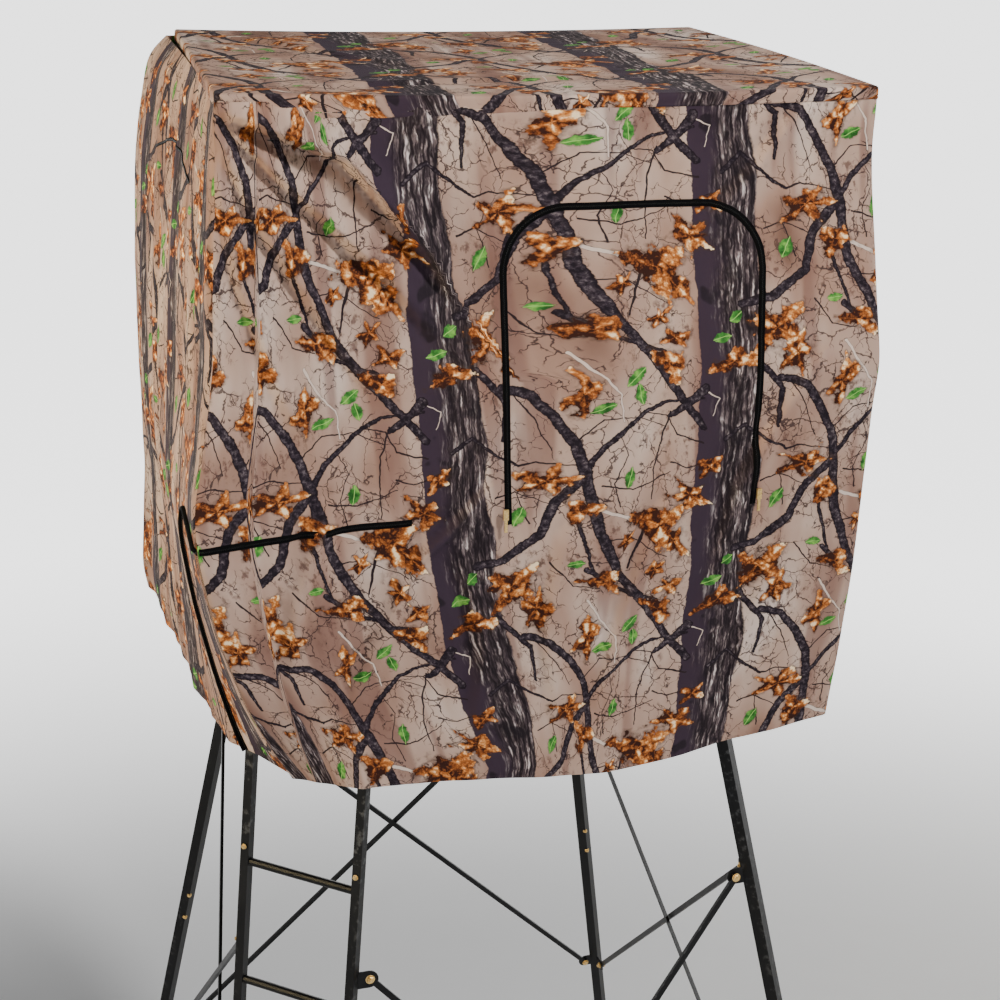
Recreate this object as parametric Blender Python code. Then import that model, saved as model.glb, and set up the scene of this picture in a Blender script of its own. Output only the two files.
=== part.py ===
"""Tripod hunting stand: three splayed legs and a corner ladder carry a platform with two swivel
seats, a padded rail and a cloth blind on light uprights. Metres, Z up, ground at Z = 0, the
window side faces -Y, the ladder stands at the -X -Y corner."""

import math

import bmesh
import bpy
from mathutils import Matrix, Vector

GAP = 0.0003
FLOOR_Z = 3.660
FRAME_TOP_Z = 3.652
FRAME_LOW_Z = 3.620
ROOF_Z = 5.240
HEM_Z = 3.600
RAIL_Z = 4.590
TWIST_DEG = -7.7
ROOF_SHIFT = (0.060, -0.019)

LEG_REF_Z = 3.240
LEG_REF = (0.565, 0.678)
LEG_SPREAD = 0.177
LEG_TUBE = 0.033
LEG_JOINTS_Z = (2.390, 1.190)
FOOT_TOP_Z = 0.012
LEG_CORNERS = {"back_left": (-1, 1), "back_right": (1, 1), "front_right": (1, -1)}

LADDER_REF = 0.639
LADDER_SPREAD = 0.1025
LADDER_WIDTH = 0.325
LADDER_TUBE = 0.024
RUNG_RADIUS = 0.0105
RUNG_TOP_Z = 3.316
RUNG_STEP = 0.318
LADDER_JOINTS_Z = (3.390, 2.200, 1.010)
GRAB_TOP_Z = 4.300

BRACE_HIGH_Z = {"back_left": 3.140, "back_right": 3.140, "front_right": 3.140,
                "ladder_left": 3.078, "ladder_right": 3.078}
BRACE_LOW_Z = {"back_left": 1.800, "back_right": 1.800, "front_right": 1.660,
               "ladder_left": 1.630, "ladder_right": 1.630}
BRACE_SIZE = (0.009, 0.016)
PLATE_THICK = 0.004
EAR_REACH = 0.046

FRAME_HALF = 0.690
FRAME_TUBE = 0.032
CHAMFER = 0.320
UPRIGHT_RADIUS = 0.0125
RAIL_HALF = 0.750
RAIL_RADIUS = 0.0125
PAD_RADIUS = 0.019
ROOF_POLE_HALF = 0.712
ROOF_POLE_RADIUS = 0.0095

CLOTH = 0.004
SEAM = 0.001
SKIRT = 0.030
BELLY = 0.020
FRONT_DOOR_X = -0.350
DOOR_SIDE_Y = -0.523
DOOR_TOP_Z = 4.275
WINDOW = {"left": -0.132, "right": 0.480, "low": 4.255, "high": 4.985, "round": 0.150}

SLIDER_OFFSET = 0.010
SLIDER_Y = -0.798

SEAT_AT = ((-0.340, 0.220), (0.340, 0.220))
SEAT_Z = 4.060
SEAT_SIZE = (0.420, 0.400)

COLOURS = {
    "coat": ((0.018, 0.018, 0.019), 0.6, 0.38),
    "deck": ((0.022, 0.022, 0.023), 0.5, 0.55),
    "cloth": ((0.36, 0.28, 0.22), 0.0, 0.95),
    "foam": ((0.030, 0.031, 0.030), 0.0, 0.90),
    "sling": ((0.045, 0.050, 0.040), 0.0, 0.85),
    "rubber": ((0.020, 0.020, 0.020), 0.0, 0.75),
    "zinc": ((0.62, 0.47, 0.22), 1.0, 0.35),
}


def clear_scene():
    for old in list(bpy.data.objects):
        bpy.data.objects.remove(old, do_unlink=True)


def new_collection(name):
    made = bpy.data.collections.new(name)
    bpy.context.scene.collection.children.link(made)
    return made


def finish(name, look, verts, faces):
    """One node: a closed mesh with outward faces and its own material."""
    mesh = bpy.data.meshes.new(name)
    mesh.from_pydata([tuple(v) for v in verts], [], [tuple(f) for f in faces])
    work = bmesh.new()
    work.from_mesh(mesh)
    bmesh.ops.remove_doubles(work, verts=work.verts, dist=1e-6)
    bmesh.ops.recalc_face_normals(work, faces=work.faces)
    work.to_mesh(mesh)
    work.free()
    obj = bpy.data.objects.new(name, mesh)
    if look:
        colour, metal, rough = COLOURS[look]
        mat = bpy.data.materials.new(name + "_mat")
        mat.use_nodes = True
        shader = mat.node_tree.nodes["Principled BSDF"]
        shader.inputs["Base Color"].default_value = (*colour, 1.0)
        shader.inputs["Metallic"].default_value = metal
        shader.inputs["Roughness"].default_value = rough
        mesh.materials.append(mat)
    return obj


def loft(rings, closed=False):
    """Verts and faces through rings of equal length, with end caps unless the loft is closed."""
    count = len(rings[0])
    verts = [Vector(p) for ring in rings for p in ring]
    faces = []
    last = len(rings) if closed else len(rings) - 1
    for i in range(last):
        a, b = i * count, ((i + 1) % len(rings)) * count
        for k in range(count):
            n = (k + 1) % count
            faces.append((a + k, a + n, b + n, b + k))
    if not closed:
        faces.append(tuple(range(count - 1, -1, -1)))
        faces.append(tuple((len(rings) - 1) * count + k for k in range(count)))
    return verts, faces


def box_between(p, q, width, height, up=(0, 0, 1)):
    """Verts and faces of a bar from p to q: height along up, width across it."""
    p, q = Vector(p), Vector(q)
    along = (q - p).normalized()
    side = along.cross(Vector(up)).normalized()
    top = side.cross(along).normalized()
    corners = [(-1, -1), (1, -1), (1, 1), (-1, 1)]
    rings = [[end + side * (width / 2 * a) + top * (height / 2 * b) for a, b in corners]
             for end in (p, q)]
    return loft(rings)


def tube_along(points, radius, sides=10):
    """Verts and faces of a round bar through the points, mitred at each bend."""
    points = [Vector(p) for p in points]
    rings = []
    first = (points[1] - points[0]).normalized()
    normal = first.orthogonal().normalized()
    for i, point in enumerate(points):
        before = (points[i] - points[i - 1]).normalized() if i else first
        after = (points[i + 1] - points[i]).normalized() if i + 1 < len(points) else before
        tangent = (before + after).normalized()
        normal = (normal - tangent * normal.dot(tangent)).normalized()
        other = tangent.cross(normal)
        stretch = 1.0 / max(0.3, tangent.dot(after))
        bend = (after - before)
        bend = bend.normalized() if bend.length > 1e-6 else None
        ring = []
        for k in range(sides):
            angle = 2 * math.pi * (k + 0.5) / sides
            offset = normal * math.cos(angle) + other * math.sin(angle)
            if bend is not None:
                offset = offset + bend * (offset.dot(bend) * (stretch - 1.0))
            ring.append(point + offset * radius)
        rings.append(ring)
    return loft(rings)


def disc(centre, axis, radius, depth, sides=12):
    axis = Vector(axis).normalized()
    centre = Vector(centre)
    return tube_along([centre - axis * depth / 2, centre + axis * depth / 2], radius, sides)


def sleeve(p, q, outer, inner, sides=14):
    """Verts and faces of an open-ended round sleeve."""
    p, q = Vector(p), Vector(q)
    along = (q - p).normalized()
    normal = along.orthogonal().normalized()
    other = along.cross(normal)

    def ring(end, radius):
        angles = [2 * math.pi * k / sides for k in range(sides)]
        return [end + (normal * math.cos(a) + other * math.sin(a)) * radius for a in angles]

    return loft([ring(p, outer), ring(q, outer), ring(q, inner), ring(p, inner)], closed=True)


def bake(obj):
    """A plain mesh of the object with its modifiers applied."""
    graph = bpy.context.evaluated_depsgraph_get()
    return bpy.data.meshes.new_from_object(obj.evaluated_get(graph))


def combine(name, look, shapes, operation="UNION"):
    """The first shape joined with, or cut by, all the others, as one node."""
    base = finish(name, look, *shapes[0])
    bpy.context.scene.collection.objects.link(base)
    if len(shapes) == 1:
        return base
    helpers = new_collection("helpers")
    tools = []
    for i, shape in enumerate(shapes[1:]):
        tool = finish(f"tool_{i}", None, *shape)
        tool.hide_render = True
        tool.display_type = "WIRE"
        helpers.objects.link(tool)
        tools.append(tool)
    if len(tools) == 1:
        mod = base.modifiers.new("shape", "BOOLEAN")
        mod.object = tools[0]
    else:
        mod = base.modifiers.new("shape", "BOOLEAN")
        mod.operand_type = "COLLECTION"
        mod.collection = helpers
    mod.operation = operation
    mod.solver = "EXACT"
    made = bake(base)
    base.modifiers.clear()
    base.data = made
    for tool in tools:
        bpy.data.objects.remove(tool, do_unlink=True)
    bpy.data.collections.remove(helpers)
    return base


def keep(obj, origin=None):
    """Moves the node into the stand's collection, with its origin on its own joint."""
    for holder in list(obj.users_collection):
        holder.objects.unlink(obj)
    STAND.objects.link(obj)
    if origin is not None:
        obj.data.transform(Matrix.Translation(-Vector(origin)))
        obj.location = Vector(origin)
    return obj


def skewed(point):
    """The blind's light frame hangs twisted: nothing at the hem, all of it at the roof."""
    x, y, z = point
    share = min(1.0, max(0.0, (z - HEM_Z) / (ROOF_Z - HEM_Z)))
    angle = math.radians(TWIST_DEG * share)
    c, s = math.cos(angle), math.sin(angle)
    return Vector((x * c - y * s + ROOF_SHIFT[0] * share, x * s + y * c + ROOF_SHIFT[1] * share, z))


def between(value, table):
    """Straight-line reading of a table of (key, value) pairs in rising key order."""
    if value <= table[0][0]:
        return table[0][1]
    for (k0, v0), (k1, v1) in zip(table, table[1:]):
        if value <= k1:
            return v0 + (v1 - v0) * (value - k0) / (k1 - k0)
    return table[-1][1]


# ---- legs and feet ----


def leg_centre(corner, z):
    grow = LEG_SPREAD * (LEG_REF_Z - z)
    return Vector((corner[0] * (LEG_REF[0] + grow), corner[1] * (LEG_REF[1] + grow), z))


def leg_ring(corner, z, size):
    """A level square section of a leg, turned so that one face looks out of the corner."""
    middle = leg_centre(corner, z)
    half = size / math.sqrt(2)
    return [middle + Vector(d) * half for d in ((1, 0, 0), (0, 1, 0), (-1, 0, 0), (0, -1, 0))]


def leg_shape(corner, low, high, size=LEG_TUBE):
    return loft([leg_ring(corner, low, size), leg_ring(corner, high, size)])


def build_legs():
    high, low = LEG_JOINTS_Z
    for name, corner in LEG_CORNERS.items():
        shapes = [leg_shape(corner, high + GAP, FRAME_LOW_Z - GAP)]
        keep(combine("leg_upper_" + name, "coat", shapes + brace_ears(name, BRACE_HIGH_Z[name])))
        shapes = [leg_shape(corner, low + GAP, high)]
        keep(combine("leg_middle_" + name, "coat", shapes + brace_ears(name, BRACE_LOW_Z[name])))
        shapes = [leg_shape(corner, FOOT_TOP_Z + GAP, low)]
        keep(combine("leg_lower_" + name, "coat", shapes))
        base = leg_centre(corner, 0.0)
        plate = disc(base + Vector((0, 0, FOOT_TOP_Z / 2)), (0, 0, 1), 0.075, FOOT_TOP_Z, 20)
        cup = loft([leg_ring(corner, FOOT_TOP_Z - 0.004, 0.058), leg_ring(corner, 0.075, 0.046)])
        hole = loft([leg_ring(corner, FOOT_TOP_Z, LEG_TUBE + 0.0008),
                     leg_ring(corner, 0.090, LEG_TUBE + 0.0008)])
        boot = combine("foot_" + name, "rubber", [plate, cup])
        bore = finish("boot_bore", None, *hole)
        keep(cut(boot, bore))


def cut(obj, tool, operation="DIFFERENCE"):
    bpy.context.scene.collection.objects.link(tool)
    tool.hide_render = True
    mod = obj.modifiers.new("cut", "BOOLEAN")
    mod.object = tool
    mod.operation = operation
    mod.solver = "EXACT"
    made = bake(obj)
    obj.modifiers.clear()
    obj.data = made
    bpy.data.objects.remove(tool, do_unlink=True)
    return obj


# ---- ladder ----


def ladder_centre(z):
    reach = LADDER_REF + LADDER_SPREAD * (LEG_REF_Z - z)
    if z > FRAME_LOW_Z:
        reach += 0.120 * (z - FRAME_LOW_Z)
    return Vector((-reach, -reach, z))


def rail_point(side, z):
    """Centre of a ladder rail: side +1 is the left one, -1 the right one."""
    return ladder_centre(z) + Vector((-1, 1, 0)).normalized() * (side * LADDER_WIDTH / 2)


def rail_ring(side, z, size=LADDER_TUBE):
    out = Vector((-1, -1, 0)).normalized() * size / 2
    across = Vector((-1, 1, 0)).normalized() * size / 2
    middle = rail_point(side, z)
    return [middle + out * a + across * b for a, b in ((1, 1), (1, -1), (-1, -1), (-1, 1))]


def ladder_section(name, low, high, ear_heights=None):
    shapes = [loft([rail_ring(side, z) for z in (low + GAP, high)]) for side in (1, -1)]
    steps = [RUNG_TOP_Z - RUNG_STEP * k for k in range(-1, 11)]
    for z in (z for z in steps if low + 0.02 < z < high - 0.02):
        shapes.append(tube_along([rail_point(1, z), rail_point(-1, z)], RUNG_RADIUS, 10))
    for post in ("ladder_left", "ladder_right"):
        shapes += brace_ears(post, ear_heights[post]) if ear_heights else []
    return keep(combine(name, "coat", shapes))


def build_ladder():
    top, upper, middle = LADDER_JOINTS_Z
    for name, side in (("left", 1), ("right", -1)):
        heights = (top + GAP, FRAME_LOW_Z, GRAB_TOP_Z)
        keep(combine("ladder_grab_rail_" + name, "coat",
                     [loft([rail_ring(side, z) for z in heights])]))
    ladder_section("ladder_upper", upper, top, BRACE_HIGH_Z)
    ladder_section("ladder_middle", middle, upper, BRACE_LOW_Z)
    ladder_section("ladder_lower", -GAP, middle)


# ---- braces ----


BRACES = {
    "brace_back_a": ("back_left", "back_right", -1),
    "brace_back_b": ("back_right", "back_left", 1),
    "brace_right_a": ("back_right", "front_right", -1),
    "brace_right_b": ("front_right", "back_right", 1),
    "brace_front_a": ("front_right", "ladder_right", -1),
    "brace_front_b": ("ladder_right", "front_right", 1),
    "brace_left_a": ("ladder_left", "back_left", 1),
    "brace_left_b": ("back_left", "ladder_left", -1),
}


def post_centre(post, z):
    if post in LEG_CORNERS:
        return leg_centre(LEG_CORNERS[post], z)
    return rail_point(1 if post == "ladder_left" else -1, z)


def brace_ends(start_post, end_post):
    """Both bolt centres of a brace, and the square-on normal of its ears."""
    high, low = BRACE_HIGH_Z[start_post], BRACE_LOW_Z[end_post]
    roots = [post_centre(start_post, high), post_centre(end_post, low)]
    lean = (post_centre(start_post, high + 1) - roots[0]).normalized()
    lean += (post_centre(end_post, low + 1) - roots[1]).normalized()
    ends = roots
    for _ in range(4):
        along = ends[1] - ends[0]
        normal = lean.cross(along).normalized()
        side = Vector((0, 0, 1)).cross(normal).normalized()
        side *= math.copysign(1, side.dot(along))
        ends = [roots[0] + side * EAR_REACH, roots[1] - side * EAR_REACH]
    normal *= math.copysign(1, normal.y if abs(normal.y) > abs(normal.x) else normal.x)
    return roots, ends, normal


def brace_ears(post, z):
    """The welded ears on one post at one height, each in the plane of its own brace."""
    shapes = []
    for start_post, end_post, _ in BRACES.values():
        if post not in (start_post, end_post):
            continue
        roots, ends, normal = brace_ends(start_post, end_post)
        which = 0 if post == start_post else 1
        if abs(roots[which].z - z) > 0.01:
            continue
        root, end = roots[which], ends[which]
        reach = (end - root).normalized()
        bar = box_between(root + reach * 0.009, end, 0.044, PLATE_THICK, normal)
        shapes += [bar, disc(end, normal, 0.0219, PLATE_THICK - 0.0002, 16)]
    return shapes


def build_braces():
    """Tubes with flattened ends; the two of a pair cross in parallel layers."""
    thick, wide = BRACE_SIZE
    for name, (start_post, end_post, layer) in BRACES.items():
        _, ends, normal = brace_ends(start_post, end_post)
        shift = normal * (layer * (PLATE_THICK / 2 + GAP + thick / 2))
        start, end = ends[0] + shift, ends[1] + shift
        shapes = [box_between(start, end, wide, thick, normal)]
        for point in (start, end):
            shapes.append(disc(point, normal, 0.0105, thick - 0.0006, 12))
            head = point + normal * (layer * (thick / 2 + 0.0025))
            shapes.append(disc(head, normal, 0.0085, 0.007, 6))
        keep(combine(name, "coat", shapes))


# ---- platform ----


def platform_outline(half, chamfer):
    """The platform's plan, with the ladder corner cut across."""
    inner = half - chamfer
    return [(-half, -inner), (-inner, -half), (half, -half), (half, half), (-half, half)]


def build_platform():
    mid_z = (FRAME_TOP_Z + FRAME_LOW_Z) / 2
    half = FRAME_HALF - FRAME_TUBE / 2
    plan = platform_outline(half, CHAMFER)
    shapes = []
    for i, start in enumerate(plan):
        end = plan[(i + 1) % len(plan)]
        p, q = Vector((*start, mid_z)), Vector((*end, mid_z))
        along = (q - p).normalized() * FRAME_TUBE / 2
        shapes.append(box_between(p - along, q + along, FRAME_TUBE, FRAME_TUBE - 0.0001 * (i % 2)))
    lean = 0.0006
    for x in (-0.340, 0.340):
        shapes.append(box_between((x, -half, mid_z), (x, half, mid_z), FRAME_TUBE - lean,
                                  FRAME_TUBE - lean))
    for name, corner in LEG_CORNERS.items():
        top = leg_centre(corner, FRAME_LOW_Z)
        inner = Vector((corner[0] * 0.42, corner[1] * 0.52, mid_z))
        outer = Vector((corner[0] * half, corner[1] * half, mid_z))
        shapes.append(box_between(inner, outer, 0.046, FRAME_TUBE - 2 * lean))
        shapes.append(box_between((corner[0] * 0.34, corner[1] * 0.52, mid_z),
                                  (corner[0] * 0.60, corner[1] * 0.52, mid_z), 0.030, 0.0302))
        shapes.append(disc((top.x, top.y, mid_z), (0, 0, 1), 0.034, 0.0306, 16))
    for side in (1, -1):
        hook = rail_point(side, mid_z)
        inward = Vector((1, 1, 0)).normalized()
        start = hook + inward * (LADDER_TUBE / 2 + 0.004)
        shapes.append(box_between(start, hook + inward * 0.135, 0.020, 0.0298))
    keep(combine("platform_frame", "coat", shapes))

    deck_low = FRAME_TOP_Z + GAP
    deck_mid = (deck_low + FLOOR_Z) / 2
    thick = FLOOR_Z - deck_low
    edge = FRAME_HALF - 0.006
    inner = edge - CHAMFER
    slats = []
    outline = platform_outline(edge - 0.010, CHAMFER)
    for i, start in enumerate(outline):
        end = outline[(i + 1) % len(outline)]
        p, q = Vector((*start, deck_mid)), Vector((*end, deck_mid))
        along = (q - p).normalized() * 0.009
        slats.append(box_between(p - along, q + along, 0.020, thick - 0.0001 * (i % 2)))
    step = 0.062
    count = int((2 * edge - 0.04) / step)
    for k in range(count):
        y = -edge + 0.045 + step * k
        left = -edge + 0.008
        if y < -inner:
            left = -inner - (y + edge) + 0.008
        slats.append(box_between((left, y, deck_mid), (edge - 0.008, y, deck_mid), 0.014,
                                 thick - 0.0004))
    for x in (-0.340, 0.0, 0.340):
        low = -edge + 0.008 if x > -inner else -edge + 0.05
        slats.append(box_between((x, low, deck_mid), (x, edge - 0.008, deck_mid), 0.018,
                                 thick - 0.0007))
    keep(combine("platform_deck", "deck", slats))


# ---- uprights, rail and roof poles ----


def build_uprights():
    stand_low = FLOOR_Z + GAP
    rail_in = RAIL_HALF - RAIL_RADIUS - UPRIGHT_RADIUS - 0.002
    top_z = ROOF_Z - 0.052
    for name, corner in LEG_CORNERS.items():
        path = [(0.660, stand_low), (rail_in - 0.004, RAIL_Z - 0.05),
                (rail_in - 0.004, RAIL_Z + 0.05), (ROOF_POLE_HALF, top_z)]
        points = [skewed((corner[0] * r, corner[1] * r, z)) for r, z in path]
        points.insert(1, points[0] + Vector((0, 0, 0.020)))
        foot = disc(points[0] + Vector((0, 0, 0.002)), (0, 0, 1), 0.030, 0.004, 14)
        shapes = [tube_along(points, UPRIGHT_RADIUS, 10), foot]
        keep(combine("upright_" + name, "coat", shapes))
    for name, swap in (("door_left", False), ("door_right", True)):
        path = [(-0.668, -0.310, stand_low), (-rail_in + 0.004, -0.320, RAIL_Z - 0.05),
                (-rail_in + 0.004, -0.340, RAIL_Z + 0.05), (-0.712, -0.660, top_z)]
        points = [skewed((p[1], p[0], p[2]) if swap else p) for p in path]
        points.insert(1, points[0] + Vector((0, 0, 0.020)))
        foot = disc(points[0] + Vector((0, 0, 0.002)), (0, 0, 1), 0.020, 0.004, 14)
        shapes = [tube_along(points, UPRIGHT_RADIUS - 0.002, 10), foot]
        keep(combine("upright_" + name, "coat", shapes))


def rounded(points, radius, steps=4):
    """The path with each inner corner replaced by an arc."""
    points = [Vector(p) for p in points]
    path = [points[0]]
    for before, here, after in zip(points, points[1:], points[2:]):
        start = here + (before - here).normalized() * radius
        end = here + (after - here).normalized() * radius
        for k in range(steps + 1):
            t = k / steps
            path.append(start.lerp(here, t).lerp(here.lerp(end, t), t))
    path.append(points[-1])
    return path


def build_rail():
    h = RAIL_HALF
    corners = [(-h, -0.345), (-h, h), (h, h), (h, -h), (-0.345, -h)]
    path = rounded([Vector((x, y, RAIL_Z)) for x, y in corners], 0.045)
    keep(combine("shooting_rail", "coat", [tube_along([skewed(p) for p in path], RAIL_RADIUS, 10)]))
    spans = {"front": ((-0.200, -h), (0.600, -h)), "right": ((h, -0.600), (h, 0.600)),
             "back": ((-0.600, h), (0.600, h)), "left": ((-h, -0.250), (-h, 0.600))}
    for name, (p, q) in spans.items():
        start, end = skewed((*p, RAIL_Z)), skewed((*q, RAIL_Z))
        shape = sleeve(start, end, PAD_RADIUS, (RAIL_RADIUS + GAP) / math.cos(math.pi / 14))
        keep(combine("rail_pad_" + name, "foam", [shape]))
    hinge = skewed((-0.672, -0.318, RAIL_Z - 0.140))
    catch = skewed((-0.318, -0.672, RAIL_Z - 0.140))
    shapes = [tube_along([hinge, catch], 0.010, 10)]
    shapes.append(disc(hinge, (1, 1, 0), 0.016, 0.022, 14))
    keep(combine("entry_gate", "coat", shapes), hinge)


def build_roof_poles():
    h, z = ROOF_POLE_HALF, ROOF_Z - 0.034
    corners = [(0.0, -h), (h, -h), (h, h), (-h, h), (-h, -h), (0.0, -h)]
    path = rounded([Vector((x, y, z)) for x, y in corners], 0.040)[:-1]
    rings = tube_along([skewed(p) for p in path] + [skewed((0.0, -h, z))], ROOF_POLE_RADIUS, 8)
    verts, faces = rings
    count = 8
    last = len(verts) - count
    faces = [f for f in faces if len(f) == 4]
    loop = []
    for f in faces:
        loop.append(tuple(v - last if v >= last else v for v in f))
    verts = verts[:last]
    keep(combine("roof_frame", "coat", [(verts, loop)]))
    reach = h - ROOF_POLE_RADIUS - 0.0015
    points = [skewed((-reach, 0.0, z)), skewed((0.0, 0.0, z)), skewed((reach, 0.0, z))]
    keep(combine("roof_cross_pole", "coat", [tube_along(points, ROOF_POLE_RADIUS - 0.001, 8)]))


# ---- seats ----


def build_seats():
    width, depth = SEAT_SIZE
    post_low = FLOOR_Z + GAP
    for name, (x, y) in zip(("left", "right"), SEAT_AT):
        plate = box_between((x - 0.060, y, post_low + 0.003), (x + 0.060, y, post_low + 0.003),
                            0.120, 0.006)
        post = disc((x, y, (post_low + SEAT_Z - 0.020) / 2), (0, 0, 1), 0.019,
                    SEAT_Z - 0.020 - post_low, 16)
        collar = disc((x, y, SEAT_Z - 0.0265), (0, 0, 1), 0.045, 0.013, 20)
        keep(combine("seat_post_" + name, "coat", [plate, post, collar]))

        base = SEAT_Z - 0.020 + GAP
        swivel = disc((x, y, base + 0.005), (0, 0, 1), 0.045, 0.010, 20)
        bar_z = base + 0.010 + 0.009
        shapes = [swivel]
        for side in (-1, 1):
            shapes.append(box_between((x + side * width * 0.42, y - depth / 2, bar_z),
                                      (x + side * width * 0.42, y + depth / 2, bar_z), 0.020, 0.020))
            lug_x = x + side * (width * 0.42)
            lug = box_between((lug_x, y + depth / 2 - 0.010, bar_z),
                              (lug_x, y + depth / 2 - 0.010, bar_z + 0.092), 0.018, 0.020, (0, 1, 0))
            shapes.append(lug)
        for place in (-0.40, 0.0, 0.40):
            shapes.append(box_between((x - width * 0.42, y + place * depth, bar_z),
                                      (x + width * 0.42, y + place * depth, bar_z), 0.018, 0.0194))
        keep(combine("seat_frame_" + name, "coat", shapes), (x, y, base))

        pad_low = bar_z + 0.010 + GAP
        verts, faces = cushion((x, y - 0.014, pad_low), (width, depth - 0.048, 0.040))
        keep(combine("seat_cushion_" + name, "foam", [(verts, faces)]))

        pivot_z = bar_z + 0.078
        pivot_y = y + depth / 2 - 0.010
        inner = width * 0.42 - 0.009 - GAP
        back_top = pivot_z + 0.400
        shapes = []
        for side in (-1, 1):
            post_x = x + side * (inner - 0.009)
            shapes.append(box_between((post_x, pivot_y, pivot_z - 0.012), (post_x, pivot_y, back_top),
                                      0.018, 0.018, (0, 1, 0)))
        for z in (pivot_z + 0.060, back_top - 0.009):
            shapes.append(box_between((x - inner + 0.010, pivot_y, z), (x + inner - 0.010, pivot_y, z),
                                      0.0176, 0.0176))
        keep(combine("seat_back_frame_" + name, "coat", shapes), (x, pivot_y, pivot_z))
        pad_z = (pivot_z + 0.060 + back_top) / 2 - 0.004
        face_y = pivot_y - 0.009 - GAP
        verts, faces = cushion((x, 0, 0), (width * 0.86, 0.300, 0.026))
        stand = Matrix.Translation((x, face_y, pad_z)) @ Matrix.Rotation(math.radians(90), 4, "X")
        verts = [stand @ Vector((v.x - x, v.y, v.z)) for v in verts]
        keep(combine("seat_back_cushion_" + name, "foam", [(verts, faces)]))


def cushion(low_centre, size):
    """A pad with softened upper edges."""
    cx, cy, cz = low_centre
    w, d, t = size
    rings = []
    for inset, z in ((0.006, 0.0), (0.0, 0.25 * t), (0.0, 0.62 * t), (0.010, 0.90 * t), (0.035, t)):
        hw, hd, r = w / 2 - inset, d / 2 - inset, 0.030
        ring = []
        for sx, sy, begin in ((1, 1, 0), (-1, 1, 90), (-1, -1, 180), (1, -1, 270)):
            for k in range(4):
                a = math.radians(begin + 30 * k)
                ring.append(Vector((cx + sx * (hw - r) + r * math.cos(a),
                                    cy + sy * (hd - r) + r * math.sin(a), cz + z)))
        rings.append(ring)
    return loft(rings)


# ---- blind ----


CORNER = [(HEM_Z, 0.752), (3.82, 0.765), (4.05, 0.777), (4.48, 0.785), (4.595, 0.792),
          (4.67, 0.784), (4.95, 0.756), (5.12, 0.741), (ROOF_Z, 0.741)]
BACK_LEFT_X = [(HEM_Z, 0.794), (3.67, 0.812), (4.00, 0.816), (4.14, 0.830), (4.39, 0.855),
               (4.58, 0.872), (4.88, 0.884), (5.00, 0.880), (5.16, 0.862), (5.20, 0.838),
               (ROOF_Z, 0.785)]
BACK_LEFT_Y = [(HEM_Z, 0.760), (4.20, 0.780), (4.80, 0.785), (ROOF_Z, 0.765)]
DOOR_CORNER = [(HEM_Z, 0.652), (3.70, 0.705), (3.85, 0.770), (4.05, 0.832), (4.265, 0.868),
               (4.38, 0.866), (4.45, 0.842), (4.66, 0.795), (4.85, 0.780), (5.065, 0.757),
               (ROOF_Z, 0.743)]
LEFT_SIDE = [(HEM_Z, 0.772), (3.85, 0.800), (4.20, 0.846), (4.50, 0.822), (4.80, 0.796),
             (ROOF_Z, 0.744)]
FRONT_SIDE = [(HEM_Z, 0.752), (3.85, 0.766), (4.20, 0.790), (4.50, 0.786), (4.80, 0.766),
              (ROOF_Z, 0.742)]


def hem_drop(share):
    """How far the hem hangs below its level: round the plan from the door corner, 0 to 1."""
    drop = 0.052 * math.exp(-((share - 0.170) / 0.065) ** 2)
    drop -= 0.020 * math.exp(-((share - 0.280) / 0.030) ** 2)
    return drop - 0.030 * math.exp(-((share - 0.950) / 0.050) ** 2)


def blind_plan(z, inset):
    """One level of the blind's outer face, or of a face inset from it, round from the door."""
    c = between(z, CORNER) - inset
    bx, by = between(z, BACK_LEFT_X) - inset, between(z, BACK_LEFT_Y) - inset
    d = between(z, DOOR_CORNER) - inset
    s, f = between(z, LEFT_SIDE) - inset, between(z, FRONT_SIDE) - inset
    corners = [(-d, -d), (-0.500, -(f * 0.6 + c * 0.4)), (c, -c), (c, c), (-bx, by),
               (-(s * 0.5 + bx * 0.5), 0.20), (-s, -0.470)]
    belly = [0.0, 0.0, BELLY, BELLY, 0.0, 0.0, 0.0]
    pieces = [4, 14, 14, 14, 7, 8, 4]
    outline = []
    for i, start in enumerate(corners):
        end = corners[(i + 1) % len(corners)]
        p, q = Vector((*start, z)), Vector((*end, z))
        out = Vector(((q - p).y, -(q - p).x, 0)).normalized()
        for k in range(pieces[i]):
            t = k / pieces[i]
            outline.append(p.lerp(q, t) + out * (belly[i] * math.sin(math.pi * t)))
    return outline


LEVELS = [HEM_Z, 3.70, 3.85, 4.00, 4.14, 4.265, 4.38, 4.48, 4.595, 4.67, 4.80, 4.95, 5.06, 5.14,
          ROOF_Z - SKIRT - SEAM]


def blind_shell():
    """The four walls as one closed band of cloth."""
    def ring(z, inset):
        plan = blind_plan(z, inset)
        count = len(plan)
        level = []
        for k, p in enumerate(plan):
            drop = hem_drop(k / count) * max(0.0, 1.0 - (z - HEM_Z) / 0.25)
            level.append(Vector((p.x, p.y, z - drop)))
        return level

    outer = [ring(z, 0.0) for z in LEVELS]
    inner = [ring(z, CLOTH) for z in reversed(LEVELS)]
    verts, faces = loft(outer + inner, closed=True)
    # Both layers fold along the same diagonals, so that they stay a cloth's thickness apart.
    turn = len(verts) // 2
    halves = []
    for a, b, c, d in faces:
        halves += [(a, b, c), (a, c, d)] if max(a, b, c, d) < turn else [(a, b, d), (b, c, d)]
    return verts, halves


def prism(points, low, high):
    """Verts and faces of an upright block over a plan."""
    return loft([[Vector((x, y, low)) for x, y in points], [Vector((x, y, high)) for x, y in points]])


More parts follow.
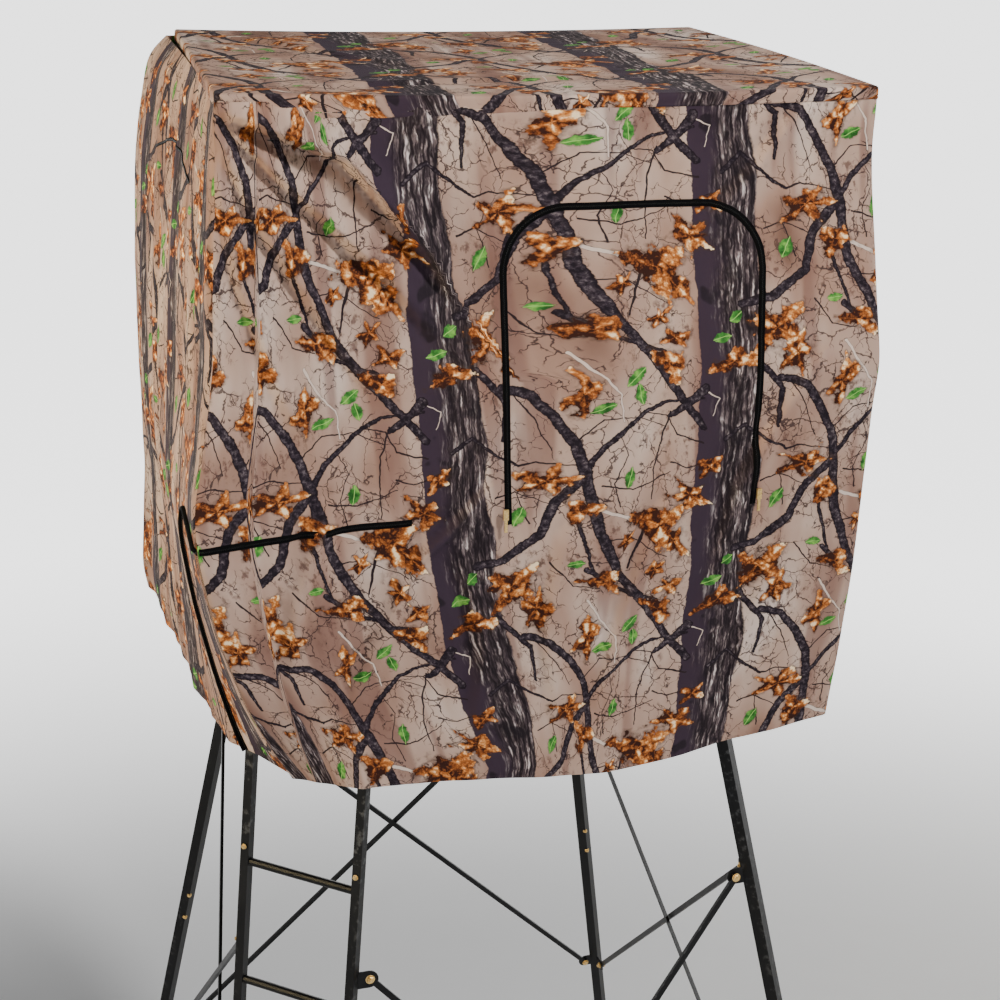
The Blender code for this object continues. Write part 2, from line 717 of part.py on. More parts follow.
def plane_prism(points, near, far):
    """Verts and faces of a block along Y over an outline in the XZ plane."""
    return loft([[Vector((x, near, z)) for x, z in points], [Vector((x, far, z)) for x, z in points]])


def window_outline(grow):
    left, right = WINDOW["left"] - grow, WINDOW["right"] + grow
    low, high, r = WINDOW["low"] - grow, WINDOW["high"] + grow, WINDOW["round"] + grow
    points = [(left, low), (right, low)]
    for centre_x, begin in ((right - r, 0), (left + r, 90)):
        for k in range(7):
            a = math.radians(begin + 15 * k)
            points.append((centre_x + r * math.cos(a), high - r + r * math.sin(a)))
    return points


def wedge_shape(a, b):
    """The block outside one wall, from near the stand's middle out past both corners, drawn in
    so that neighbours leave a seam."""
    a, b = Vector((*a, 0)), Vector((*b, 0))
    shift = (b - a).normalized() * SEAM / 2
    plan = [a * 0.5 + shift, a * 1.35 + shift, b * 1.35 - shift, b * 0.5 - shift]
    return prism([(p.x, p.y) for p in plan], HEM_Z - 0.2, ROOF_Z + 0.1)


def door_volume(grow):
    """The block that the corner door is cut with: along the front and round to the left wall."""
    front, side = FRONT_DOOR_X + grow, DOOR_SIDE_Y + grow
    plan = [(-1.3, -1.3), (front, -1.3), (front, -0.600), (-0.600, -0.420), (-0.680, side),
            (-1.3, side)]
    return prism(plan, HEM_Z - 0.3, DOOR_TOP_Z + grow)


def window_volume(grow):
    return plane_prism(window_outline(grow), -1.2, -0.4)


def twist_cloth(obj):
    for vert in obj.data.vertices:
        vert.co = skewed(vert.co)
    return obj


def build_blind():
    """Every wall and flap is cut from one band of cloth, then twisted with the uprights."""
    shell = blind_shell()
    corners = {"front": ((-0.770, -0.770), (0.770, -0.770)), "right": ((0.770, -0.770), (0.770, 0.770)),
               "back": ((0.770, 0.770), (-0.820, 0.775)), "left": ((-0.820, 0.775), (-0.770, -0.770))}
    for name, (a, b) in corners.items():
        wall = combine("wall_" + name, "cloth", [shell, wedge_shape(a, b)], "INTERSECT")
        if name in ("front", "left"):
            wall = cut(wall, finish("tool", None, *door_volume(SEAM)))
        if name == "front":
            wall = cut(wall, finish("tool", None, *window_volume(SEAM)))
        keep(twist_cloth(wall))
    flap = combine("window_flap", "cloth", [shell, window_volume(0.0)], "INTERSECT")
    keep(twist_cloth(flap), skewed((0.0, -0.790, WINDOW["low"])))
    door = combine("door_flap", "cloth", [shell, door_volume(0.0)], "INTERSECT")
    keep(twist_cloth(door), (FRONT_DOOR_X, -0.800, FLOOR_Z))
    build_roof_cloth()


def roof_point(u, v, inset, drop):
    """A point of the roof cloth: u and v run from -1 to 1 across it."""
    c = between(ROOF_Z, CORNER) - inset + 0.001
    left_back = between(ROOF_Z, BACK_LEFT_X) - inset + 0.001
    corners = {(-1, -1): (-c, -c), (1, -1): (c, -c), (1, 1): (c, c), (-1, 1): (-left_back, c + 0.02)}
    x = y = 0.0
    for (su, sv), (px, py) in corners.items():
        weight = (1 + su * u) * (1 + sv * v) / 4
        x += px * weight
        y += py * weight
    x += BELLY * math.cos(math.pi * v / 2) * (1 + u) / 2
    y += BELLY * math.cos(math.pi * u / 2) * (1 + v) / 2
    sag = 0.012 * (1 - u * u) * (0.6 + 0.4 * v * v) + 0.010 * (1 - v * v) * (1 - u ** 4)
    return skewed((x, y, ROOF_Z - drop)) - Vector((0, 0, sag))


def build_roof_cloth():
    n = 12
    steps = [-1 + 2 * k / n for k in range(n + 1)]
    verts, faces, index = [], [], {}

    def put(key, point):
        index[key] = len(verts)
        verts.append(point)

    for layer, inset, drop in ((0, 0.0, 0.0), (1, CLOTH, CLOTH)):
        for i, u in enumerate(steps):
            for j, v in enumerate(steps):
                put((layer, i, j), roof_point(u, v, inset, drop))
    edge = [(i, 0) for i in range(n)] + [(n, j) for j in range(n)]
    edge += [(i, n) for i in range(n, 0, -1)] + [(0, j) for j in range(n, 0, -1)]
    for layer, inset in ((0, 0.0), (1, CLOTH)):
        for i, j in edge:
            p = roof_point(steps[i], steps[j], inset, 0.0)
            put((layer, "low", i, j), Vector((p.x, p.y, ROOF_Z - SKIRT)))
    for layer in (0, 1):
        for i in range(n):
            for j in range(n):
                quad = [index[(layer, i, j)], index[(layer, i + 1, j)],
                        index[(layer, i + 1, j + 1)], index[(layer, i, j + 1)]]
                faces.append(quad if layer == 0 else quad[::-1])
    count = len(edge)
    for k in range(count):
        a, b = edge[k], edge[(k + 1) % count]
        for layer in (0, 1):
            quad = [index[(layer, *b)], index[(layer, *a)], index[(layer, "low", *a)],
                    index[(layer, "low", *b)]]
            faces.append(quad if layer == 0 else quad[::-1])
        faces.append([index[(0, "low", *b)], index[(0, "low", *a)], index[(1, "low", *a)],
                      index[(1, "low", *b)]])
    keep(combine("roof_cloth", "cloth", [(verts, faces)]))


# ---- zip sliders ----


def build_sliders():
    spots = {"window_left": WINDOW["left"] - SLIDER_OFFSET,
             "window_right": WINDOW["right"] + SLIDER_OFFSET}
    for name, x in spots.items():
        at = skewed((x, SLIDER_Y, WINDOW["low"] + 0.012))
        body = box_between(at, at + Vector((0, 0, 0.026)), 0.012, 0.006, (0, 1, 0))
        pull = box_between(at + Vector((0, -0.001, 0.004)), at + Vector((0, -0.001, -0.030)), 0.007,
                           0.003, (0, 1, 0))
        keep(combine("zip_slider_" + name, "zinc", [body, pull]), at)


clear_scene()
STAND = new_collection("tripod_hunting_stand")
build_legs()
build_ladder()
build_braces()
build_platform()
build_uprights()
build_rail()
build_roof_poles()
build_seats()
build_blind()
build_sliders()
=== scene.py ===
"""Looks of the tripod hunting stand: printed cloth blind, black tube frame, foam and zinc parts."""

import math

import bmesh
import bpy
import numpy as np
from mathutils import Matrix, Vector, noise


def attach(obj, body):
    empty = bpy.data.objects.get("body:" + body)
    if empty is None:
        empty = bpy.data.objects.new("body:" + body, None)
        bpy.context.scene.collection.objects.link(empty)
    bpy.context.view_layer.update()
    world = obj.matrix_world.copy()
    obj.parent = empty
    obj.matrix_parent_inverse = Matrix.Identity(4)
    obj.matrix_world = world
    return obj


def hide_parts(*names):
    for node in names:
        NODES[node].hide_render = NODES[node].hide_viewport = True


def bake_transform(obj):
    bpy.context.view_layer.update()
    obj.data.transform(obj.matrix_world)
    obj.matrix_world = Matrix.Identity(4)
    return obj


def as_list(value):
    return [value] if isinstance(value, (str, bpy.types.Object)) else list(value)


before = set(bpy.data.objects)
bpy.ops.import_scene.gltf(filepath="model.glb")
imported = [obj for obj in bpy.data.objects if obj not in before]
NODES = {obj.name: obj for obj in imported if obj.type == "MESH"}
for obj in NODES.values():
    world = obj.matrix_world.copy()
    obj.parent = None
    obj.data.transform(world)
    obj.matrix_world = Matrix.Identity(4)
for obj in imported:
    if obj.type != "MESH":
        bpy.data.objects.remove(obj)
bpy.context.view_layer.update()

# ---- sizes in metres, in the frame's own axes ----

WALLS = ("wall_front", "wall_right", "wall_back", "wall_left")
HEM_Z, ROOF_Z = 3.600, 5.240
TWIST_DEG, ROOF_SHIFT = -7.7, (0.060, -0.019)
SKIRT, BELLY = 0.030, 0.020
CLOTH_THICK = 0.0014
ZIP_HALF, ZIP_STEP, COIL_STEP = 0.0042, 0.010, 0.0024
DOOR_FRONT_X, DOOR_SIDE_Y, DOOR_TOP_Z = -0.350, -0.523, 4.275
DOOR_BEND, DOOR_ROUND = 0.110, 0.055
WINDOW = {"left": -0.132, "right": 0.480, "low": 4.255, "high": 4.985, "round": 0.150}
WINDOW_BEND = 0.070
LADDER_REF, LADDER_SPREAD, LADDER_WIDTH, LEG_REF_Z = 0.639, 0.1025, 0.325, 3.240
RAIL_HALF, RAIL_Z, PAD_RADIUS = 0.750, 4.590, 0.019
TILE = 0.62

# How far the drawn-tight cloth stands from the middle at each height, at its corners and sides.
CORNER = [(HEM_Z, 0.752), (3.82, 0.765), (4.05, 0.777), (4.48, 0.785), (4.595, 0.792),
          (4.67, 0.784), (4.95, 0.756), (5.12, 0.741), (ROOF_Z, 0.741)]
BACK_LEFT_X = [(HEM_Z, 0.794), (3.67, 0.812), (4.00, 0.816), (4.14, 0.830), (4.39, 0.855),
               (4.58, 0.872), (4.88, 0.884), (5.00, 0.880), (5.16, 0.862), (5.20, 0.838),
               (ROOF_Z, 0.785)]
BACK_LEFT_Y = [(HEM_Z, 0.760), (4.20, 0.780), (4.80, 0.785), (ROOF_Z, 0.765)]
DOOR_CORNER = [(HEM_Z, 0.652), (3.70, 0.705), (3.85, 0.770), (4.05, 0.832), (4.265, 0.868),
               (4.38, 0.866), (4.45, 0.842), (4.66, 0.795), (4.85, 0.780), (5.065, 0.757),
               (ROOF_Z, 0.743)]
LEFT_SIDE = [(HEM_Z, 0.772), (3.85, 0.800), (4.20, 0.846), (4.50, 0.822), (4.80, 0.796),
             (ROOF_Z, 0.744)]
FRONT_SIDE = [(HEM_Z, 0.752), (3.85, 0.766), (4.20, 0.790), (4.50, 0.786), (4.80, 0.766),
              (ROOF_Z, 0.742)]


# ---- meshes ----


def add_object(name, mesh, look):
    """Puts a mesh with its material into the scene."""
    mesh.materials.append(look)
    obj = bpy.data.objects.new(name, mesh)
    bpy.context.scene.collection.objects.link(obj)
    return obj


def store_flat(mesh, places):
    """Keeps each vertex's place on the flat cloth, which the materials read."""
    flat = mesh.attributes.new("flat", "FLOAT_VECTOR", "POINT")
    flat.data.foreach_set("vector", np.array(places, np.float32).ravel())


def write_outward(work, mesh):
    """Moves a bmesh into a mesh with all its faces turned outwards."""
    bmesh.ops.recalc_face_normals(work, faces=work.faces)
    work.to_mesh(mesh)
    work.free()


def closed_piece(name, verts, faces, look, flats=None):
    """A smooth piece from points and faces, with its places on the flat where it has them."""
    mesh = bpy.data.meshes.new(name)
    mesh.from_pydata([tuple(v) for v in verts], [], faces)
    if flats is not None:
        store_flat(mesh, flats)
    work = bmesh.new()
    work.from_mesh(mesh)
    write_outward(work, mesh)
    mesh.shade_smooth()
    return add_object(name, mesh, look)


def frame_at(line, k):
    """The directions along and across a line of (point, outward normal), at its point k."""
    before, after = line[max(0, k - 1)][0], line[min(len(line) - 1, k + 1)][0]
    run = (after - before).normalized()
    return run, run.cross(line[k][1]).normalized()


def moved_across(line, shift):
    """The line moved sideways over the cloth."""
    return [(at + frame_at(line, k)[1] * shift, out) for k, (at, out) in enumerate(line)]


def unit(value):
    """The value kept between 0 and 1."""
    return min(1.0, max(0.0, value))


def arc(centre, radius, first, last, steps):
    """Points of an arc between two angles in degrees, anticlockwise from the first axis."""
    turns = [math.radians(first + (last - first) * k / steps) for k in range(steps + 1)]
    return [(centre[0] + radius * math.cos(a), centre[1] + radius * math.sin(a)) for a in turns]


def between(value, table):
    """The value of a (place, value) table at a place, in straight stretches."""
    return float(np.interp(value, [k for k, _ in table], [v for _, v in table]))


# ---- camera, light and floor ----


def make_camera():
    data = bpy.data.cameras.new("camera")
    data.lens, data.sensor_width = 65.99, 36.0
    data.clip_end = 200.0
    cam = bpy.data.objects.new("camera", data)
    yaw, pitch, roll = (math.radians(a) for a in (-18.913, 19.427, 0.686))
    ahead = Vector((-math.sin(yaw) * math.cos(pitch), math.cos(yaw) * math.cos(pitch),
                    -math.sin(pitch)))
    right = Vector((math.cos(yaw), math.sin(yaw), 0))
    up = right.cross(ahead)
    side = math.cos(roll) * right + math.sin(roll) * up
    top = -math.sin(roll) * right + math.cos(roll) * up
    turn = Matrix((side, top, -ahead)).transposed().to_4x4()
    cam.matrix_world = Matrix.Translation((-1.468, -4.567, 5.724)) @ turn
    bpy.context.scene.collection.objects.link(cam)
    bpy.context.scene.camera = cam


def area_light(name, place, aim, size, power, colour=(1, 1, 1), spread=180):
    data = bpy.data.lights.new(name, "AREA")
    data.shape, data.size, data.energy, data.color = "DISK", size, power, colour
    data.spread = math.radians(spread)
    lamp = bpy.data.objects.new(name, data)
    lamp.location = place
    lamp.rotation_euler = (Vector(aim) - Vector(place)).to_track_quat("-Z", "Y").to_euler()
    bpy.context.scene.collection.objects.link(lamp)


def make_stage():
    """A pale world that is brightest at the horizon, four soft lamps and the floor."""
    world = bpy.data.worlds.new("studio")
    bpy.context.scene.world = world
    world.use_nodes = True
    tree = world.node_tree
    back = tree.nodes["Background"]
    back.inputs["Color"].default_value = (0.97, 0.98, 1.0, 1)
    way, parts = tree.nodes.new("ShaderNodeTexCoord"), tree.nodes.new("ShaderNodeSeparateXYZ")
    band = tree.nodes.new("ShaderNodeMapRange")
    band.interpolation_type = "SMOOTHSTEP"
    for socket, value in (("From Min", 0.02), ("From Max", 0.32), ("To Min", 1.7), ("To Max", 0.12)):
        band.inputs[socket].default_value = value
    tree.links.new(way.outputs["Generated"], parts.inputs[0])
    tree.links.new(parts.outputs["Z"], band.inputs["Value"])
    tree.links.new(band.outputs[0], back.inputs["Strength"])
    area_light("key", (3.4, -5.6, 10.8), (0, 0, 4.4), 1.0, 800)
    area_light("front_fill", (-1.0, -8.5, 5.0), (0, 0, 4.4), 3.0, 70)
    area_light("left_warm", (-7.0, -1.0, 6.2), (0, 0, 4.4), 1.6, 44, (1.0, 0.80, 0.44), 50)
    area_light("right_back", (6.5, 5.0, 8.0), (0, 0, 4.4), 3.0, 240)
    make_floor()


def make_floor():
    """Pale paper that glows far away, so that it meets the pale background."""
    mesh = bpy.data.meshes.new("floor")
    reach = 300
    mesh.from_pydata([(-reach, -reach, 0), (reach, -reach, 0), (reach, reach, 0), (-reach, reach, 0)],
                     [], [(0, 1, 2, 3)])
    net = Net("floor_paper")
    at = net.place("Object")
    tone = net.noise(at, 3.0, 2)
    net.set("Base Color", net.ramp(tone, [(0.0, (0.86, 0.86, 0.855)), (1.0, (0.90, 0.90, 0.895))]))
    net.set("Roughness", 0.85)
    away = net.vec("LENGTH", at, out="Value")
    net.set("Emission Color", (1.0, 1.0, 1.0))
    behind = net.step(net.split(at)[1], 0.5, 7.0)
    glow = net.mul(net.step(away, 3.5, 11.0), net.mul_add(behind, 2.0, 0.45))
    net.set("Emission Strength", glow)
    add_object("floor", mesh, net.mat)


# ---- shader nodes ----


class Net:
    """Adds shader nodes: each call makes one node and gives back its output."""

    def __init__(self, name):
        self.mat = bpy.data.materials.new(name)
        self.mat.use_nodes = True
        self.tree = self.mat.node_tree
        self.tree.nodes.clear()
        out = self.tree.nodes.new("ShaderNodeOutputMaterial")
        self.shader = self.tree.nodes.new("ShaderNodeBsdfPrincipled")
        self.tree.links.new(self.shader.outputs[0], out.inputs[0])

    def fill(self, socket, value):
        if isinstance(value, bpy.types.NodeSocket):
            self.tree.links.new(value, socket)
        elif isinstance(value, (tuple, list)) and socket.type == "RGBA":
            socket.default_value = (*value, 1.0)
        else:
            socket.default_value = value

    def set(self, name, value):
        self.fill(self.shader.inputs[name], value)

    def node(self, kind, inputs, out=0, **settings):
        made = self.tree.nodes.new("ShaderNode" + kind)
        for key, value in settings.items():
            setattr(made, key, value)
        for key, value in inputs.items():
            self.fill(made.inputs[key], value)
        return made.outputs[out]

    def place(self, output="Object"):
        return self.node("TexCoord", {}, output)

    def flat(self):
        return self.node("Attribute", {}, "Vector", attribute_name="flat")

    def math(self, operation, a, b=0.0, c=0.0):
        return self.node("Math", {0: a, 1: b, 2: c}, operation=operation)

    def mul(self, a, b):
        return self.math("MULTIPLY", a, b)

    def mul_add(self, a, factor, more):
        return self.math("MULTIPLY_ADD", a, factor, more)

    def sub(self, a, b):
        return self.math("SUBTRACT", a, b)

    def max(self, a, b):
        return self.math("MAXIMUM", a, b)

    def vec(self, operation, a, b=(0, 0, 0), c=(0, 0, 0), out="Vector"):
        return self.node("VectorMath", {0: a, 1: b, 2: c}, out, operation=operation)

    def scaled(self, a, factor):
        return self.node("VectorMath", {0: a, "Scale": factor}, "Vector", operation="SCALE")

    def split(self, vector):
        made = self.tree.nodes.new("ShaderNodeSeparateXYZ")
        self.fill(made.inputs[0], vector)
        return made.outputs

    def noise(self, point, scale, detail=3.0, rough=0.55, out=0):
        return self.node("TexNoise", {"Vector": point, "Scale": scale, "Detail": detail,
                                      "Roughness": rough}, out)

    def ramp(self, value, stops):
        made = self.tree.nodes.new("ShaderNodeValToRGB")
        points = made.color_ramp.elements
        while len(points) < len(stops):
            points.new(0.5)
        for point, (at, colour) in zip(points, stops):
            point.position, point.color = at, (*colour, 1.0)
        self.fill(made.inputs[0], value)
        return made.outputs[0]

    def step(self, value, low, high):
        """0 below low, 1 above high and smooth between; low above high turns it round."""
        if low > high:
            return self.sub(1.0, self.step(value, high, low))
        return self.node("MapRange", {"Value": value, "From Min": low, "From Max": high},
                         interpolation_type="SMOOTHSTEP", clamp=False)

    def mix(self, share, a, b):
        made = self.tree.nodes.new("ShaderNodeMix")
        made.data_type, made.clamp_factor = "RGBA", False
        self.fill(made.inputs[0], share)
        self.fill(made.inputs[6], a)
        self.fill(made.inputs[7], b)
        return made.outputs[2]

    def bump(self, height, strength, distance):
        self.set("Normal", self.node("Bump", {"Height": height, "Strength": strength,
                                              "Distance": distance}))


# The printed pattern repeats each TILE both ways: x from a trunk's left edge, y upwards.
# A stroke is (half widths at both ends, points).
LIMBS = [
    ((0.010, 0.012), [(0.205, 0.590), (0.266, 0.571), (0.310, 0.516), (0.345, 0.448)]),
    ((0.012, 0.013), [(0.345, 0.448), (0.363, 0.381), (0.385, 0.233), (0.440, 0.098)]),
    ((0.013, 0.010), [(0.440, 0.098), (0.510, 0.018), (0.585, -0.080), (0.640, -0.150)]),
    ((0.008, 0.003), [(0.363, 0.381), (0.400, 0.435), (0.490, 0.510), (0.540, 0.534), (0.640, 0.546)]),
    ((0.012, 0.010), [(0.363, 0.375), (0.305, 0.310), (0.270, 0.220), (0.185, 0.160), (0.120, 0.150)]),
    ((0.006, 0.004), [(0.335, 0.305), (0.347, 0.235), (0.375, 0.120)]),
    ((0.008, 0.004), [(0.360, 0.130), (0.425, 0.065), (0.540, 0.030)]),
    ((0.013, 0.007), [(0.640, 0.570), (0.600, 0.530), (0.555, 0.500)]),
    ((0.006, 0.003), [(0.080, 0.440), (0.130, 0.480), (0.190, 0.430), (0.235, 0.405)]),
    ((0.009, 0.004), [(0.150, 0.640), (0.215, 0.560), (0.205, 0.470)]),
]
TWIGS = [
    ((0.0040, 0.0020), [(0.500, 0.235), (0.475, 0.165), (0.460, 0.120)]),
    ((0.0022, 0.0014), [(0.555, 0.510), (0.530, 0.440), (0.518, 0.370), (0.515, 0.300)]),
    ((0.0022, 0.0012), [(0.640, 0.430), (0.570, 0.450), (0.545, 0.500), (0.490, 0.510)]),
    ((0.0020, 0.0010), [(0.395, 0.345), (0.460, 0.330), (0.515, 0.345), (0.560, 0.362)]),
    ((0.0025, 0.0012), [(0.235, 0.405), (0.270, 0.415), (0.345, 0.400)]),
    ((0.0018, 0.0010), [(0.345, 0.448), (0.400, 0.500), (0.470, 0.500), (0.540, 0.470)]),
    ((0.0020, 0.0010), [(0.225, 0.585), (0.270, 0.520), (0.300, 0.440)]),
    ((0.0020, 0.0010), [(0.285, 0.150), (0.330, 0.085), (0.390, 0.070)]),
    ((0.0022, 0.0010), [(0.180, 0.320), (0.225, 0.335), (0.300, 0.300)]),
    ((0.0020, 0.0010), [(0.560, 0.385), (0.600, 0.370), (0.680, 0.392)]),
    ((0.0018, 0.0010), [(0.400, 0.200), (0.460, 0.205), (0.560, 0.150)]),
    ((0.0018, 0.0008), [(0.250, 0.250), (0.230, 0.330), (0.260, 0.380)]),
    ((0.0016, 0.0008), [(0.430, 0.290), (0.420, 0.350), (0.450, 0.410), (0.430, 0.460)]),
]
PALE_TWIGS = [
    ((0.0035, 0.0020), [(0.365, 0.660), (0.400, 0.605), (0.435, 0.560), (0.440, 0.490)]),
    ((0.0050, 0.0030), [(0.395, 0.280), (0.455, 0.255), (0.500, 0.240)]),
    ((0.0020, 0.0015), [(0.030, 0.560), (0.060, 0.545), (0.045, 0.500)]),
]
# Crumpled dead leaves and green ones: (centre, half size, turn in degrees).
DEAD_LEAVES = [
    ((0.535, 0.235), (0.094, 0.072), -20), ((0.580, 0.192), (0.060, 0.036), -60),
    ((0.288, 0.366), (0.078, 0.044), 10), ((0.352, 0.285), (0.050, 0.046), 60),
    ((0.198, 0.090), (0.088, 0.062), 30), ((0.245, 0.030), (0.060, 0.048), 80),
    ((0.400, 0.088), (0.070, 0.036), -15), ((0.568, 0.066), (0.046, 0.030), 5),
    ((0.530, 0.118), (0.040, 0.026), 40), ((0.548, 0.004), (0.064, 0.040), -35),
    ((0.045, 0.372), (0.048, 0.030), 25), ((0.000, 0.300), (0.066, 0.040), -25),
    ((0.092, 0.016), (0.072, 0.036), 15), ((0.366, 0.565), (0.072, 0.036), 70),
    ((0.452, 0.196), (0.034, 0.022), 50),
]
GREEN_LEAVES = [
    ((0.455, 0.357), (0.026, 0.014), 75), ((0.228, 0.272), (0.030, 0.017), 60),
    ((0.470, 0.592), (0.030, 0.015), 40), ((0.482, 0.552), (0.026, 0.014), 100),
    ((0.402, 0.530), (0.028, 0.013), 20), ((0.337, 0.146), (0.022, 0.011), 5),
    ((0.105, 0.122), (0.019, 0.016), 30), ((0.066, 0.070), (0.027, 0.014), 15),
]


def repeats(points, reach):
    """The shifts that bring a shape near a tile's edge back in on the other side."""
    shifts = []
    for dx in (-TILE, 0.0, TILE):
        for dy in (-TILE, 0.0, TILE):
            xs = [p[0] + dx for p in points]
            ys = [p[1] + dy for p in points]
            if (max(xs) + reach > 0 and min(xs) - reach < TILE and max(ys) + reach > 0
                    and min(ys) - reach < TILE):
                shifts.append((dx, dy))
    return shifts


def strokes(net, point, table):
    """How far a point is inside the nearest stroke, in metres: above 0 is inside."""
    best = None
    for (first, last), points in table:
        spans = list(zip(points, points[1:]))
        for k, (a, b) in enumerate(spans):
            w0 = first + (last - first) * k / len(spans)
            w1 = first + (last - first) * (k + 1) / len(spans)
            for dx, dy in repeats([a, b], max(w0, w1)):
                run = Vector((b[0] - a[0], b[1] - a[1], 0))
                long = run.length
                off = net.vec("SUBTRACT", point, (a[0] + dx, a[1] + dy, 0))
                along = net.vec("DOT_PRODUCT", off, run / (long * long), out="Value")
                along = net.math("MINIMUM", net.max(along, 0.0), 1.0)
                apart = net.vec("MULTIPLY_ADD", net.scaled(run[:], along), (-1, -1, -1), off)
                apart = net.vec("LENGTH", apart, out="Value")
                inside = net.mul_add(along, w1 - w0, w0)
                inside = net.sub(inside, apart)
                best = inside if best is None else net.max(best, inside)
    return best


def local(net, point, centre, size, turn):
    """The point as a leaf sees it: x along the leaf and y across, both -1 to 1."""
    return net.node("Mapping", {"Vector": point, "Location": (*centre, 0.0),
                                "Rotation": (0, 0, math.radians(turn)),
                                "Scale": (*size, 1.0)}, vector_type="TEXTURE")


def dead_leaves(net, point, rough):
    """(mask, shade) of the crumpled brown leaves."""
    mask, shade = None, None
    for k, (centre, size, turn) in enumerate(DEAD_LEAVES):
        for dx, dy in repeats([centre], max(size)):
            at = local(net, point, (centre[0] + dx, centre[1] + dy), size, turn)
            x, y, _ = net.split(at)
            far = net.vec("LENGTH", at, out="Value")
            angle = net.math("ARCTAN2", y, x)
            lobes = net.math("COSINE", net.mul_add(angle, 1.5 + 0.5 * (k % 3), k))
            tips = net.sub(1.0, net.math("ABSOLUTE", lobes))
            edge = net.mul_add(tips, 0.46, 0.52)
            edge = net.mul_add(rough, 1.5, edge)
            inside = net.sub(edge, far)
            light = net.mul_add(x, 0.14, net.mul(tips, 0.22))
            if mask is None:
                mask, shade = inside, light
                continue
            wins = net.math("GREATER_THAN", inside, mask)
            shade = net.mul_add(net.sub(light, shade), wins, shade)
            mask = net.max(mask, inside)
    return mask, shade


def green_leaves(net, point):
    """(mask, midrib) of the green leaves."""
    mask, rib = None, None
    for centre, size, turn in GREEN_LEAVES:
        for dx, dy in repeats([centre], max(size)):
            at = local(net, point, (centre[0] + dx, centre[1] + dy), size, turn)
            x, y, _ = net.split(at)
            body = net.mul_add(net.mul(x, x), -1.0, 1.0)
            across = net.math("ABSOLUTE", y)
            inside = net.sub(body, across)
            if mask is None:
                mask, rib = inside, across
                continue
            wins = net.math("GREATER_THAN", inside, mask)
            rib = net.mul_add(net.sub(across, rib), wins, rib)
            mask = net.max(mask, inside)
    return mask, rib


